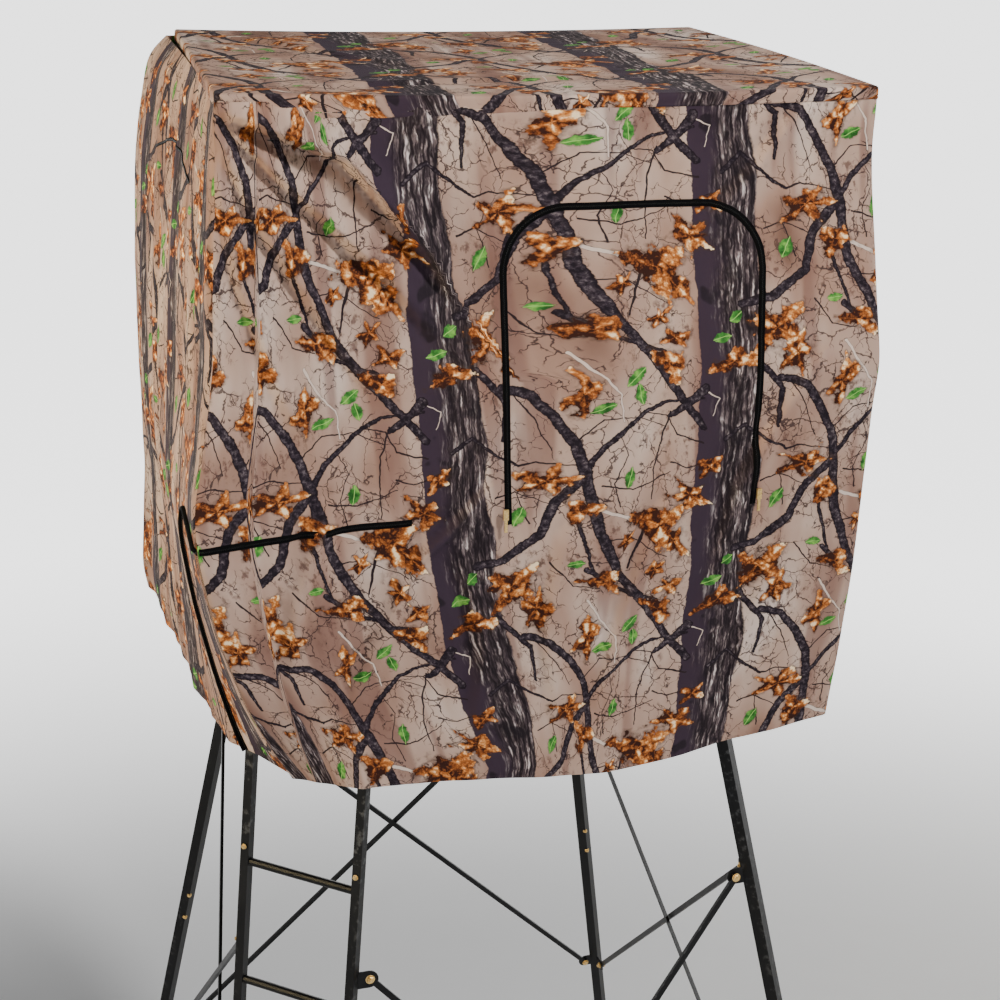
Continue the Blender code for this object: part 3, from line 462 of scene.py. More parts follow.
def woodland_cloth():
    """Printed polyester: trunks, limbs, twigs and leaves on a blurred tan ground."""
    net = Net("woodland_cloth")
    flat = net.flat()
    sway = net.noise(flat, 3.2, 1.0, out="Color")
    sway = net.scaled(net.vec("SUBTRACT", sway, (0.5, 0.5, 0.5)), 0.050)
    wobble = net.noise(flat, 30.0, 2.0, out="Color")
    wobble = net.scaled(net.vec("SUBTRACT", wobble, (0.5, 0.5, 0.5)), 0.012)
    bent = net.vec("ADD", net.vec("ADD", flat, sway), wobble)
    tile = net.vec("WRAP", bent, (TILE, TILE, 1.0), (0, 0, -1.0))
    tile = net.vec("MULTIPLY", tile, (1, 1, 0))
    x = net.split(tile)[0]
    fine = net.noise(flat, 130.0, 3.0, 0.6)
    grit = net.sub(fine, 0.5)

    # The blurred ground, with far-off stems as soft upright bands.
    soft = net.noise(net.vec("MULTIPLY", flat, (1.0, 0.45, 1.0)), 5.0, 3.0, 0.5)
    ground = net.ramp(soft, [(0.26, (0.150, 0.075, 0.052)), (0.42, (0.340, 0.205, 0.150)),
                             (0.56, (0.460, 0.320, 0.250)), (0.72, (0.620, 0.500, 0.430))])
    stems = net.noise(net.vec("MULTIPLY", flat, (1.0, 0.10, 1.0)), 13.0, 2.0, 0.45)
    ground = net.mix(net.mul(net.step(stems, 0.52, 0.64), 0.60), ground, (0.170, 0.080, 0.062))
    litter = net.noise(net.vec("MULTIPLY", flat, (1.0, 0.6, 1.0)), 55.0, 4.0, 0.65)
    patch = net.mul(net.step(net.noise(flat, 7.0, 2.0), 0.50, 0.62), 0.75)
    ground = net.mix(net.mul(net.step(litter, 0.50, 0.64), patch), ground, (0.075, 0.034, 0.028))

    # Hair-thin twigs along the edges of a cell pattern, in patches.
    colour = ground
    tangle = net.noise(flat, 60.0, 2.0, out="Color")
    tangle = net.vec("ADD", bent, net.scaled(net.vec("SUBTRACT", tangle, (0.5, 0.5, 0.5)), 0.016))
    for scale, wide, low in ((8.0, 0.017, 0.47), (15.0, 0.022, 0.49), (27.0, 0.030, 0.52)):
        cells = net.node("TexVoronoi", {"Vector": net.vec("MULTIPLY", tangle, (1.25, 1.0, 1.0)),
                                        "Scale": scale, "Randomness": 1.0},
                         feature="DISTANCE_TO_EDGE")
        thin = net.step(cells, wide, wide * 0.35)
        shown = net.step(net.noise(flat, scale * 0.55, 2.0), low, low + 0.05)
        colour = net.mix(net.mul(thin, net.mul(shown, 0.85)), colour, (0.030, 0.016, 0.017))

    # The trunk: a flat dark side, then cracked bark with pale ridges.
    edge_left = net.mul_add(grit, 0.006, x)
    width = net.mul_add(net.noise(flat, 4.0, 1.0), 0.050, 0.140)
    on_trunk = net.mul(net.step(edge_left, 0.004, 0.007), net.step(net.sub(width, edge_left), 0.0, 0.006))
    grain = net.vec("MULTIPLY", bent, (1.0, 0.10, 1.0))
    ridges = net.noise(grain, 120.0, 4.0, 0.6)
    plates = net.node("TexVoronoi", {"Vector": grain, "Scale": 75.0}, feature="DISTANCE_TO_EDGE")
    crack = net.step(plates, 0.16, 0.03)
    bark = net.ramp(ridges, [(0.36, (0.012, 0.008, 0.010)), (0.50, (0.050, 0.034, 0.038)),
                             (0.59, (0.200, 0.150, 0.145)), (0.67, (0.640, 0.550, 0.520))])
    bark = net.mix(net.mul(crack, 0.80), bark, (0.010, 0.006, 0.008))
    shade_side = net.step(net.mul_add(net.noise(flat, 9.0, 3.0), 0.09, x), 0.135, 0.085)
    bark = net.mix(shade_side, bark, (0.036, 0.022, 0.034))
    knots = net.step(net.noise(flat, 11.0, 2.0), 0.60, 0.66)
    bark = net.mix(net.mul(knots, 0.8), bark, (0.012, 0.008, 0.011))
    colour = net.mix(on_trunk, colour, bark)

    # Limbs and twigs in front of it.
    twigs = strokes(net, tile, TWIGS)
    colour = net.mix(net.step(twigs, -0.0007, 0.0006), colour, (0.020, 0.012, 0.014))
    limbs = strokes(net, tile, LIMBS)
    limbs = net.mul_add(grit, 0.006, limbs)
    skin = net.ramp(net.noise(bent, 90.0, 4.0, 0.65), [
        (0.42, (0.012, 0.008, 0.012)), (0.56, (0.040, 0.028, 0.036)), (0.72, (0.190, 0.150, 0.155))])
    skin = net.mix(net.step(limbs, 0.006, 0.0), skin, (0.010, 0.006, 0.009))
    colour = net.mix(net.step(limbs, -0.0010, 0.0010), colour, skin)
    pale = strokes(net, tile, PALE_TWIGS)
    pale_skin = net.mix(net.step(pale, 0.0012, 0.0), (0.620, 0.500, 0.420), (0.090, 0.060, 0.055))
    colour = net.mix(net.step(pale, -0.0007, 0.0007), colour, pale_skin)

    # Green leaves, then brown ones with a soft shadow under each.
    green, rib = green_leaves(net, tile)
    green = net.mul_add(grit, 0.9, green)
    leaf = net.ramp(net.noise(flat, 45.0, 3.0), [(0.36, (0.014, 0.075, 0.012)),
                    (0.50, (0.045, 0.200, 0.030)), (0.66, (0.190, 0.420, 0.070))])
    leaf = net.mix(net.step(rib, 0.10, 0.02), leaf, (0.300, 0.520, 0.130))
    colour = net.mix(net.mul(net.step(green, -0.25, 0.15), 0.5), colour, (0.030, 0.030, 0.022))
    colour = net.mix(net.step(green, 0.02, 0.16), colour, leaf)
    dead, shade = dead_leaves(net, tile, net.sub(net.noise(flat, 30.0, 3.0, 0.55), 0.5))
    colour = net.mix(net.mul(net.step(dead, -0.22, 0.10), 0.7), colour, (0.045, 0.024, 0.016))
    creased = net.math("ABSOLUTE", net.sub(net.noise(flat, 27.0, 4.0, 0.60), 0.5))
    crumple = net.mul_add(creased, 2.6, net.math("ADD", shade, 0.28))
    husk = net.ramp(crumple, [(0.38, (0.030, 0.009, 0.005)), (0.50, (0.190, 0.050, 0.012)),
                              (0.60, (0.410, 0.125, 0.026)), (0.72, (0.660, 0.290, 0.090)),
                              (0.84, (0.920, 0.700, 0.430))])
    colour = net.mix(net.step(dead, 0.0, 0.07), colour, husk)

    # The weave and small creases.
    u, v, _ = net.split(flat)
    weave = net.mul(net.math("SINE", net.mul(u, 5200.0)), net.math("SINE", net.mul(v, 5200.0)))
    tint = net.mul_add(weave, 0.03, 1.0)
    net.set("Base Color", net.scaled(colour, tint))
    net.set("Roughness", net.mul_add(fine, 0.16, 0.74))
    net.set("Specular IOR Level", 0.14)
    crease = net.noise(net.vec("MULTIPLY", flat, (1.0, 0.55, 1.0)), 14.0, 5.0, 0.55)
    height = net.mul_add(weave, 0.010, crease)
    net.bump(height, 0.55, 0.012)
    return net.mat


# ---- cloth shapes ----


def skewed(point):
    """The blind's light frame hangs twisted: nothing at the hem, all of it at the roof."""
    x, y, z = point
    share = min(1.0, max(0.0, (z - HEM_Z) / (ROOF_Z - HEM_Z)))
    angle = math.radians(TWIST_DEG * share)
    c, s = math.cos(angle), math.sin(angle)
    return Vector((x * c - y * s + ROOF_SHIFT[0] * share, x * s + y * c + ROOF_SHIFT[1] * share, z))


def hem_drop(share):
    drop = 0.052 * math.exp(-((share - 0.170) / 0.065) ** 2)
    drop -= 0.020 * math.exp(-((share - 0.280) / 0.030) ** 2)
    return drop - 0.030 * math.exp(-((share - 0.950) / 0.050) ** 2)


# The plan has seven corners, from the ladder's round to the left face. CELLS counts the grid
# cells of each side, and HEM_PARTS each side's share of the hem's curve.
CELLS = (24, 105, 128, 128, 56, 56, 32)
HEM_PARTS = (4, 14, 14, 14, 7, 8, 4)
ROWS = 136


def plan_points(z):
    """One level of the blind, round from the door corner, with the share of the way round."""
    c, d = between(z, CORNER), between(z, DOOR_CORNER)
    bx, by = between(z, BACK_LEFT_X), between(z, BACK_LEFT_Y)
    s, f = between(z, LEFT_SIDE), between(z, FRONT_SIDE)
    corners = [(-d, -d), (-0.500, -(f * 0.6 + c * 0.4)), (c, -c), (c, c), (-bx, by),
               (-(s * 0.5 + bx * 0.5), 0.20), (-s, -0.470)]
    bulge = [0.0, 0.0, BELLY, BELLY, 0.0, 0.0, 0.0]
    points, shares, before = [], [], 0
    for i, p in enumerate(corners):
        q = corners[(i + 1) % len(corners)]
        run = Vector((q[0] - p[0], q[1] - p[1]))
        out = Vector((run.y, -run.x)).normalized()
        for k in range(CELLS[i]):
            t = k / CELLS[i]
            at = Vector(p) + run * t + out * (bulge[i] * math.sin(math.pi * t))
            points.append((at.x, at.y))
            shares.append((before + t * HEM_PARTS[i]) / sum(HEM_PARTS))
        before += HEM_PARTS[i]
    return points, shares


def soft_fold(u, z, line, wide, tall):
    """A ridge with a hollow under it along a line of (u, z) points, fading to its far end."""
    best, where = 1e9, 0.0
    total = sum(math.dist(a, b) for a, b in zip(line, line[1:]))
    gone = 0.0
    for a, b in zip(line, line[1:]):
        run = (b[0] - a[0], b[1] - a[1])
        long = math.hypot(*run)
        t = max(0.0, min(1.0, ((u - a[0]) * run[0] + (z - a[1]) * run[1]) / long ** 2))
        off = (u - a[0] - run[0] * t, z - a[1] - run[1] * t)
        d = math.hypot(*off)
        if d < abs(best):
            side = run[0] * off[1] - run[1] * off[0]
            best, where = math.copysign(d, side), (gone + t * long) / total
        gone += long
    fade = math.sin(math.pi * min(1.0, where * 0.85 + 0.15)) ** 0.7
    x = best / wide if best > 0 else best / (wide * 0.55)
    return tall * fade * (math.exp(-x * x) - 0.8 * math.exp(-(x + 1.5) ** 2))


# Folds of the front wall as (line, width, height): u is metres right of its left corner.
FRONT_FOLDS = [
    ([(0.00, 5.215), (0.20, 5.155), (0.38, 5.105), (0.47, 5.000), (0.56, 4.890), (0.62, 4.780)],
     0.028, 0.052),
    ([(0.02, 5.190), (0.16, 5.085), (0.32, 4.975), (0.46, 4.850), (0.58, 4.680)], 0.026, 0.024),
    ([(0.01, 5.150), (0.12, 4.980), (0.27, 4.800), (0.44, 4.560)], 0.030, 0.018),
    ([(0.00, 5.080), (0.07, 4.850), (0.18, 4.600), (0.30, 4.400)], 0.028, 0.014),
    ([(1.46, 5.200), (1.34, 5.060), (1.20, 4.920)], 0.028, 0.012),
    ([(0.66, 4.330), (0.58, 4.250), (0.48, 4.170)], 0.018, 0.020),
    ([(0.30, 4.330), (0.20, 4.120), (0.14, 3.880)], 0.032, 0.020),
    ([(0.54, 4.240), (0.42, 4.020), (0.30, 3.760)], 0.036, 0.016),
    ([(0.60, 4.180), (0.66, 3.950), (0.64, 3.680)], 0.034, 0.015),
    ([(0.86, 4.200), (0.82, 3.960), (0.86, 3.660)], 0.036, 0.012),
    ([(1.10, 4.250), (1.02, 4.000), (0.96, 3.700)], 0.036, 0.014),
    ([(1.46, 4.600), (1.30, 4.300), (1.22, 3.960)], 0.036, 0.014),
    ([(1.42, 4.200), (1.36, 3.950), (1.32, 3.680)], 0.030, 0.010),
]


def relief(u, z, panel, length):
    """How far the cloth stands out from its drawn-tight shape, in metres."""
    high = (z - HEM_Z) / (ROOF_Z - HEM_Z)
    ripple = noise.noise(Vector((u * 7.0 + panel * 11, z * 1.3, 3.1)))
    wide = noise.noise(Vector((u * 2.6 + panel * 7, z * 1.7, 8.7)))
    small = noise.noise(Vector((u * 17.0, z * 7.0, 5.3 + panel)))
    hang = max(0.0, 1.0 - high * 2.4)
    out = 0.007 * wide + (0.004 + 0.008 * hang) * ripple + 0.0028 * small
    if panel == 3:
        streak = noise.noise(Vector((u * 15.0, z * 0.7, 1.9)))
        gap = length - u
        calm = unit(max((z - 4.30) / 0.25, (gap - 0.46) / 0.20))
        out = out * (0.10 + 0.90 * calm) + 0.011 * streak * calm
        puff = between(z, [(3.72, 0.0), (4.02, 1.0), (4.24, 1.0), (4.50, 0.0)])
        out += 0.018 * puff * between(gap, [(0.0, 0.0), (0.42, 1.0), (0.60, 0.75), (0.90, 0.0)])
    if panel == 0:
        for line, width, tall in FRONT_FOLDS:
            out += soft_fold(u, z, line, width, tall)
    return out * unit((ROOF_Z - SKIRT + 0.002 - z) / 0.030) - 0.0015


def build_band():
    """The walls as arrays over (row, column): drawn tight, hung and flat, and each wall's start."""
    low, high = HEM_Z, ROOF_Z - SKIRT + 0.012
    levels = [low + (high - low) * r / ROWS for r in range(ROWS + 1)]
    straight = []
    for z in levels:
        points, shares = plan_points(z)
        drop = max(0.0, 1.0 - (z - HEM_Z) / 0.25)
        straight.append([(x, y, z - hem_drop(share) * drop) for (x, y), share in zip(points, shares)])
    grid = np.array(straight)
    soft = np.clip((5.17 - np.array(levels)) / 0.14, 0, 1)[:, None, None]
    for _ in range(3):
        smooth = (grid * 2 + np.roll(grid, 1, 1) + np.roll(grid, -1, 1)) / 4
        grid[:, :, :2] += (smooth - grid)[:, :, :2] * soft
    for _ in range(10):
        grid[1:-1] = (grid[1:-1] * 2 + grid[:-2] + grid[2:]) / 4
    middle = grid[ROWS // 2]
    step = np.linalg.norm(np.roll(middle, -1, 0)[:, :2] - middle[:, :2], axis=1)
    around = np.concatenate([[0.0], np.cumsum(step)[:-1]])
    starts = [0, CELLS[0] + CELLS[1], sum(CELLS[:3]), sum(CELLS[:4]), sum(CELLS)]
    hung = np.empty_like(grid)
    flat = np.empty_like(grid)
    tangent = np.roll(grid, -1, 1) - np.roll(grid, 1, 1)
    for column in range(grid.shape[1]):
        panel = max(k for k in range(4) if starts[k] <= column)
        u = around[column] - around[starts[panel]]
        length = around[starts[panel + 1] - 1] - around[starts[panel]]
        for row in range(grid.shape[0]):
            x, y, z = grid[row, column]
            out = Vector((tangent[row, column, 1], -tangent[row, column, 0], 0)).normalized()
            out *= relief(u, z, panel, length) * (0.35 + 0.65 * unit(min(u, length - u) / 0.03))
            hung[row, column] = skewed((x + out.x, y + out.y, z))
            flat[row, column] = (*print_place(u, z, panel), 0.0)
    return grid, hung, flat, starts


# How far the drape pulls the print to the right on the front wall's left half, by height.
LEAN = [(3.60, 0.130), (3.70, 0.100), (3.95, 0.025), (4.20, -0.010), (4.60, -0.035), (5.20, -0.045)]
# The crease under which the print of the front wall is tucked.
TUCK = FRONT_FOLDS[0][0] + [(0.75, 4.600)]
# Where each wall's left edge at ground height falls on the printed roll.
PRINT_START = ((0.083, 0.350), (0.31, 0.10), (0.12, 0.33), (0.45, 0.18))


def print_place(u, z, panel):
    """Where a point of a panel falls on the printed roll."""
    drag = 0.0
    if panel == 0:
        left = unit((1.0 - u) / 0.25)
        drag = -left * between(z, LEAN) - 0.020 * (1 - left)
        tuck = unit((z - between(u, TUCK) + 0.006) / 0.016)
        drag += 0.060 * tuck * unit((u - 0.25) / 0.15) * unit((0.98 - u) / 0.25)
        if u < 0.128:
            u += 0.136
    start_u, start_v = PRINT_START[panel]
    return u + (start_u + drag), z + start_v


def two_sided(name, points, normals, flat, quads, look):
    """A cloth with both faces and a closed rim, shaded by the normals it is given."""
    count = len(points)
    verts = list(points) + [p - n * CLOTH_THICK for p, n in zip(points, normals)]
    faces = [tuple(q) for q in quads]
    rim = {}
    for q in faces:
        for a, b in zip(q, q[1:] + q[:1]):
            if (b, a) in rim:
                del rim[(b, a)]
            else:
                rim[(a, b)] = True
    faces += [tuple(i + count for i in reversed(q)) for q in quads]
    faces += [(b, a, a + count, b + count) for a, b in rim]
    mesh = bpy.data.meshes.new(name)
    mesh.from_pydata([tuple(v) for v in verts], [], faces)
    store_flat(mesh, list(flat) * 2)
    mesh.shade_smooth()
    mesh.normals_split_custom_set_from_vertices([tuple(n) for n in normals]
                                                + [tuple(-n) for n in normals])
    return add_object(name, mesh, look)


def grid_normals(hung):
    along = np.roll(hung, -1, 1) - np.roll(hung, 1, 1)
    up = np.empty_like(hung)
    up[1:-1] = hung[2:] - hung[:-2]
    up[0], up[-1] = hung[1] - hung[0], hung[-1] - hung[-2]
    cross = np.cross(along, up)
    return cross / np.linalg.norm(cross, axis=2, keepdims=True)


class Band:
    """The hung walls, and a way to find places on them."""

    def __init__(self):
        self.straight, self.hung, self.flat, self.starts = build_band()
        self.normal = grid_normals(self.hung)
        self.columns = self.hung.shape[1]

    def at(self, array, row, column):
        r = min(max(row, 0.0), array.shape[0] - 1.001)
        r0, c0 = int(r), int(math.floor(column))
        fr, fc = r - r0, column - c0
        a, b = c0 % self.columns, (c0 + 1) % self.columns
        return ((1 - fr) * ((1 - fc) * array[r0, a] + fc * array[r0, b])
                + fr * ((1 - fc) * array[r0 + 1, a] + fc * array[r0 + 1, b]))

    def find(self, key, value, z):
        """(row, column) of a straight-space place: on the front by x, on the left side by y."""
        start, end = (0, self.starts[1]) if key == "x" else (self.starts[3], self.columns)
        column = (start + end) / 2
        row = 0.0
        for _ in range(3):
            heights = self.straight[:, int(column) % self.columns, 2]
            row = float(np.interp(z, heights, np.arange(len(heights))))
            line = self.straight[int(round(row)), start:end, 0 if key == "x" else 1]
            if key == "x":
                column = start + float(np.interp(value, line, np.arange(len(line))))
            else:
                column = start + float(np.interp(-value, -line, np.arange(len(line))))
        return row, column

    def spot(self, row, column, lift=0.0):
        at, out = Vector(self.at(self.hung, row, column)), Vector(self.at(self.normal, row, column))
        out.normalize()
        return at + out * lift, out


def window_line():
    """The window's zip, up the left side, over and down the right, as (x, z) on the tight cloth."""
    left, right, low, high, r = WINDOW.values()
    points = [(left, low + (high - r - low) * k / 30) for k in range(30)]
    points += arc((left + r, high - r), r, 180, 90, 10)
    span = right - left - 2 * r
    points += [(left + r + span * k / 20, high) for k in range(1, 20)]
    points += arc((right - r, high - r), r, 90, 0, 10)
    points += [(right, high - r - (high - r - low) * k / 30) for k in range(1, 31)]
    return points


def in_window(x, z):
    left, right, low, high, r = WINDOW.values()
    if not (left < x < right and low < z < high):
        return False
    cx = min(max(x, left + r), right - r)
    cz = min(z, high - r)
    return math.hypot(x - cx, z - cz) < r or z < high - r


def nearest_on(line, p):
    best, found = 1e9, p
    for a, b in zip(line, line[1:]):
        run = (b[0] - a[0], b[1] - a[1])
        long = run[0] ** 2 + run[1] ** 2 or 1.0
        t = max(0.0, min(1.0, ((p[0] - a[0]) * run[0] + (p[1] - a[1]) * run[1]) / long))
        q = (a[0] + run[0] * t, a[1] + run[1] * t)
        d = math.dist(p, q)
        if d < best:
            best, found = d, q
    return found


def on_door_side(y, z):
    if y > DOOR_SIDE_Y:
        return False
    a, b = DOOR_ROUND - (DOOR_SIDE_Y - y), DOOR_ROUND - (DOOR_TOP_Z - z)
    return a < 0 or b < 0 or math.hypot(a, b) < DOOR_ROUND


def door_side_line():
    """The door's zip on the left face, from the corner round to the hem, as (y, z)."""
    centre = (DOOR_SIDE_Y - DOOR_ROUND, DOOR_TOP_Z - DOOR_ROUND)
    return [(-0.90, DOOR_TOP_Z)] + arc(centre, DOOR_ROUND, 90, 0, 8) + [(DOOR_SIDE_Y, HEM_Z - 0.1)]


def owner_of(band, row, column):
    """Which piece of cloth a grid cell belongs to, from its middle."""
    x, y, z = band.at(band.straight, row + 0.5, column + 0.5)
    front, left = column < band.starts[1], column >= band.starts[3]
    if front and in_window(x, z):
        return "window_flap"
    if z < DOOR_TOP_Z and ((front and x < DOOR_FRONT_X) or (left and on_door_side(y, z))):
        return "door_flap"
    return WALLS[max(k for k in range(4) if band.starts[k] <= column)]


def build_walls(band, look):
    """Splits the band into its sewn pieces and snaps their shared edges onto the zip lines."""
    rows, columns = band.hung.shape[0] - 1, band.columns
    owner = [[owner_of(band, r, c) for c in range(columns)] for r in range(rows)]
    zip_line = window_line()
    zip_line.append(zip_line[0])
    front_line = [(-0.90, DOOR_TOP_Z), (DOOR_FRONT_X, DOOR_TOP_Z), (DOOR_FRONT_X, HEM_Z - 0.1)]
    side_line = door_side_line()
    hung, normal, flat = band.hung.copy(), band.normal.copy(), band.flat.copy()
    for r in range(rows + 1):
        for c in range(columns):
            around = {owner[min(max(i, 0), rows - 1)][j % columns] for i in (r - 1, r)
                      for j in (c - 1, c)}
            if len(around) < 2:
                continue
            x, y, z = band.straight[r, c]
            if "window_flap" in around:
                nx, nz = nearest_on(zip_line, (x, z))
                place = band.find("x", nx, nz)
            elif "door_flap" in around and c < band.starts[1]:
                nx, nz = nearest_on(front_line, (x, z))
                place = band.find("x", nx, nz)
                if nz > DOOR_TOP_Z - 1e-6:
                    place = (place[0], float(c))
            elif "door_flap" in around and c >= band.starts[3]:
                ny, nz = nearest_on(side_line, (y, z))
                place = band.find("y", ny, nz)
                if ny < -0.70:
                    place = (place[0], float(c))
            else:
                continue
            hung[r, c] = band.at(band.hung, *place)
            normal[r, c] = band.at(band.normal, *place)
            flat[r, c] = band.at(band.flat, *place)
    pieces = {}
    for name in (*WALLS, "window_flap", "door_flap"):
        index, points, normals, places, quads = {}, [], [], [], []
        for r in range(rows):
            for c in range(columns):
                if owner[r][c] != name:
                    continue
                quad = []
                for i, j in ((r, c), (r, c + 1), (r + 1, c + 1), (r + 1, c)):
                    key = (i, j % columns)
                    if key not in index:
                        index[key] = len(points)
                        points.append(Vector(hung[key]))
                        normals.append(Vector(normal[key]).normalized())
                        places.append(panel_place(band, flat, key, c))
                    quad.append(index[key])
                quads.append(tuple(quad))
        pieces[name] = two_sided(name + "_cloth", points, normals, places, quads, look)
    return pieces


def panel_place(band, flat, key, column):
    """A vertex on a corner belongs to two panels: each cloth keeps its own panel's print."""
    r, c = key
    if c in band.starts and c != column or (c == 0 and column == band.columns - 1):
        before = flat[r, (c - 1) % band.columns]
        further = flat[r, (c - 2) % band.columns]
        return tuple(2 * before - further)
    return tuple(flat[r, c])


def roof_cloth(look):
    """The roof with its rounded edge and a hem skirt over the tops of the walls."""
    def at(u, v, inset, drop):
        c = between(ROOF_Z, CORNER) - inset + 0.001
        left_back = between(ROOF_Z, BACK_LEFT_X) - inset + 0.001
        p, q = (1 + u) / 2, (1 + v) / 2
        x = (1 - q) * ((1 - p) * -c + p * c) + q * ((1 - p) * -left_back + p * c)
        y = (1 - q) * -c + q * ((1 - p) * (c + 0.02) + p * c)
        x += BELLY * math.cos(math.pi * v / 2) * p
        y += BELLY * math.cos(math.pi * u / 2) * q
        sag = 0.012 * (1 - u * u) * (0.6 + 0.4 * v * v) + 0.010 * (1 - v * v) * (1 - u ** 4)
        swell = noise.noise(Vector((x * 3.0, y * 3.0, 2.0))) * 0.006 * (1 - u ** 4) * (1 - v ** 4)
        tug = 0.0
        for line, wide, tall in ROOF_FOLDS:
            tug += soft_fold(x, y, line, wide, tall)
        sag -= swell + tug * (1 - u ** 8) * (1 - v ** 8)
        return skewed((x, y, ROOF_Z - drop)) - Vector((0, 0, sag))

    side = 72
    rings = [(0.007, 0.0)] + [(0.007 - 0.007 * math.sin(math.radians(a)),
                               0.007 - 0.007 * math.cos(math.radians(a)))
                              for a in (30, 60, 90)]
    rings += [(-0.0004, 0.012), (-0.0004, 0.021), (0.0004, 0.0225), (-0.0006, 0.024),
              (-0.0006, 0.028), (0.0006, SKIRT)]
    steps = [2 * k / side - 1 for k in range(side + 1)]
    points, places, index = [], [], {}
    inset = rings[0][0]
    for j, v in enumerate(steps):
        for i, u in enumerate(steps):
            index[i, j] = len(points)
            points.append(at(u, v, inset, 0.0))
            places.append((u * 0.74 + 1.013, v * 0.74 + 0.955, 0.0))
    quads = [(index[i, j], index[i + 1, j], index[i + 1, j + 1], index[i, j + 1])
             for i in range(side) for j in range(side)]
    loop = ([(i, 0) for i in range(side)] + [(side, j) for j in range(side)]
            + [(i, side) for i in range(side, 0, -1)] + [(0, j) for j in range(side, 0, -1)])
    before = [index[key] for key in loop]
    ruffle = [0.0018 * noise.noise(Vector((i * 0.31, j * 0.31, 0.5))) for i, j in loop]
    for inset, drop in rings[1:]:
        ring = []
        for (i, j), puff in zip(loop, ruffle):
            u, v = steps[i], steps[j]
            deep = 1.0
            if drop > 0.007 and j == 0:
                deep = 1.0 + 1.1 * max(0.0, -u + 0.05) ** 0.7 * min(1.0, (1 + u) / 0.25)
            low = 0.007 + (drop - 0.007) * deep if drop > 0.007 else drop
            ring.append(len(points))
            points.append(at(u, v, inset - puff * min(1.0, drop / 0.012), low))
            places.append((u * (0.74 + low) + 1.013, v * (0.74 + low) + 0.955, 0.0))
        quads += [(before[k], ring[k], ring[(k + 1) % len(ring)], before[(k + 1) % len(ring)])
                  for k in range(len(ring))]
        before = ring
    normals = [Vector() for _ in points]
    for q in quads:
        n = (points[q[1]] - points[q[0]]).cross(points[q[3]] - points[q[0]])
        n += (points[q[3]] - points[q[2]]).cross(points[q[1]] - points[q[2]])
        for i in q:
            normals[i] += n
    normals = [n.normalized() for n in normals]
    return two_sided("roof_cloth_print", points, normals, places, quads, look)


# Creases of the roof as (x, y) lines before the twist.
ROOF_FOLDS = [
    ([(-0.73, -0.73), (-0.40, -0.52), (-0.05, -0.40), (0.30, -0.34)], 0.035, 0.006),
    ([(0.73, -0.73), (0.45, -0.50), (0.20, -0.10), (0.05, 0.30)], 0.040, 0.005),
    ([(-0.73, 0.73), (-0.50, 0.40), (-0.30, 0.05), (-0.20, -0.20)], 0.035, 0.006),
    ([(0.73, 0.70), (0.50, 0.45), (0.15, 0.40), (-0.25, 0.45)], 0.040, 0.004),
]


def strip(name, line, half, lift, thick, look):
    """A flat tape along a line of (point, outward normal), its edges rounded off."""
    count = len(line)
    verts, flats, quads = [], [], []
    section = [(-1.0, 0.15), (-0.82, 0.85), (0.0, 1.0), (0.82, 0.85), (1.0, 0.15)]
    gone = 0.0
    for k, (at, out) in enumerate(line):
        across = frame_at(line, k)[1]
        gone += (at - line[k - 1][0]).length if k else 0.0
        for s, h in section:
            verts.append(at + across * (half * s) + out * (lift + thick * h))
            flats.append((gone, half * s, 0.0))
        verts += [at + across * half + out * (lift - thick * 0.6),
                  at - across * half + out * (lift - thick * 0.6)]
        flats += [(gone, half, 0.0), (gone, -half, 0.0)]
    n = len(section) + 2
    for k in range(count - 1):
        for i in range(n):
            a, b = k * n + i, k * n + (i + 1) % n
            quads.append((a, b, b + n, a + n))
    quads.append(tuple(range(n - 1, -1, -1)))
    quads.append(tuple((count - 1) * n + i for i in range(n)))
    return closed_piece(name, verts, quads, look, flats)


def resample(points, gap):
    """Points a fixed gap apart along a line in two or three dimensions."""
    points = [Vector(p) for p in points]
    total = sum((b - a).length for a, b in zip(points, points[1:]))
    count = max(2, round(total / gap))
    found, k, gone = [], 0, 0.0
    for i in range(count + 1):
        want = total * i / count
        while k < len(points) - 2 and gone + (points[k + 1] - points[k]).length < want:
            gone += (points[k + 1] - points[k]).length
            k += 1
        span = (points[k + 1] - points[k]).length or 1.0
        found.append(points[k].lerp(points[k + 1], min(1.0, (want - gone) / span)))
    return found


def coil(name, line, lift, look):
    """The zip's teeth: a row of small rounded bars across the tape."""
    verts, faces = [], []
    for k, (at, out) in enumerate(line):
        run, across = frame_at(line, k)
        shift = across * (0.0006 if k % 2 else -0.0006)
        base = len(verts)
        for s, h, w in ((-0.0023, 0.0, 0.0009), (0.0023, 0.0, 0.0009), (0.0023, 0.0011, 0.0007),
                        (-0.0023, 0.0011, 0.0007)):
            verts += [at + shift + across * s + out * (lift + h) - run * w,
                      at + shift + across * s + out * (lift + h) + run * w]
        faces += [tuple(base + i for i in f) for f in
                  ((0, 1, 3, 2), (2, 3, 5, 4), (4, 5, 7, 6), (6, 7, 1, 0), (0, 2, 4, 6), (7, 5, 3, 1))]
    return closed_piece(name, verts, faces, look)


# ---- plain materials ----


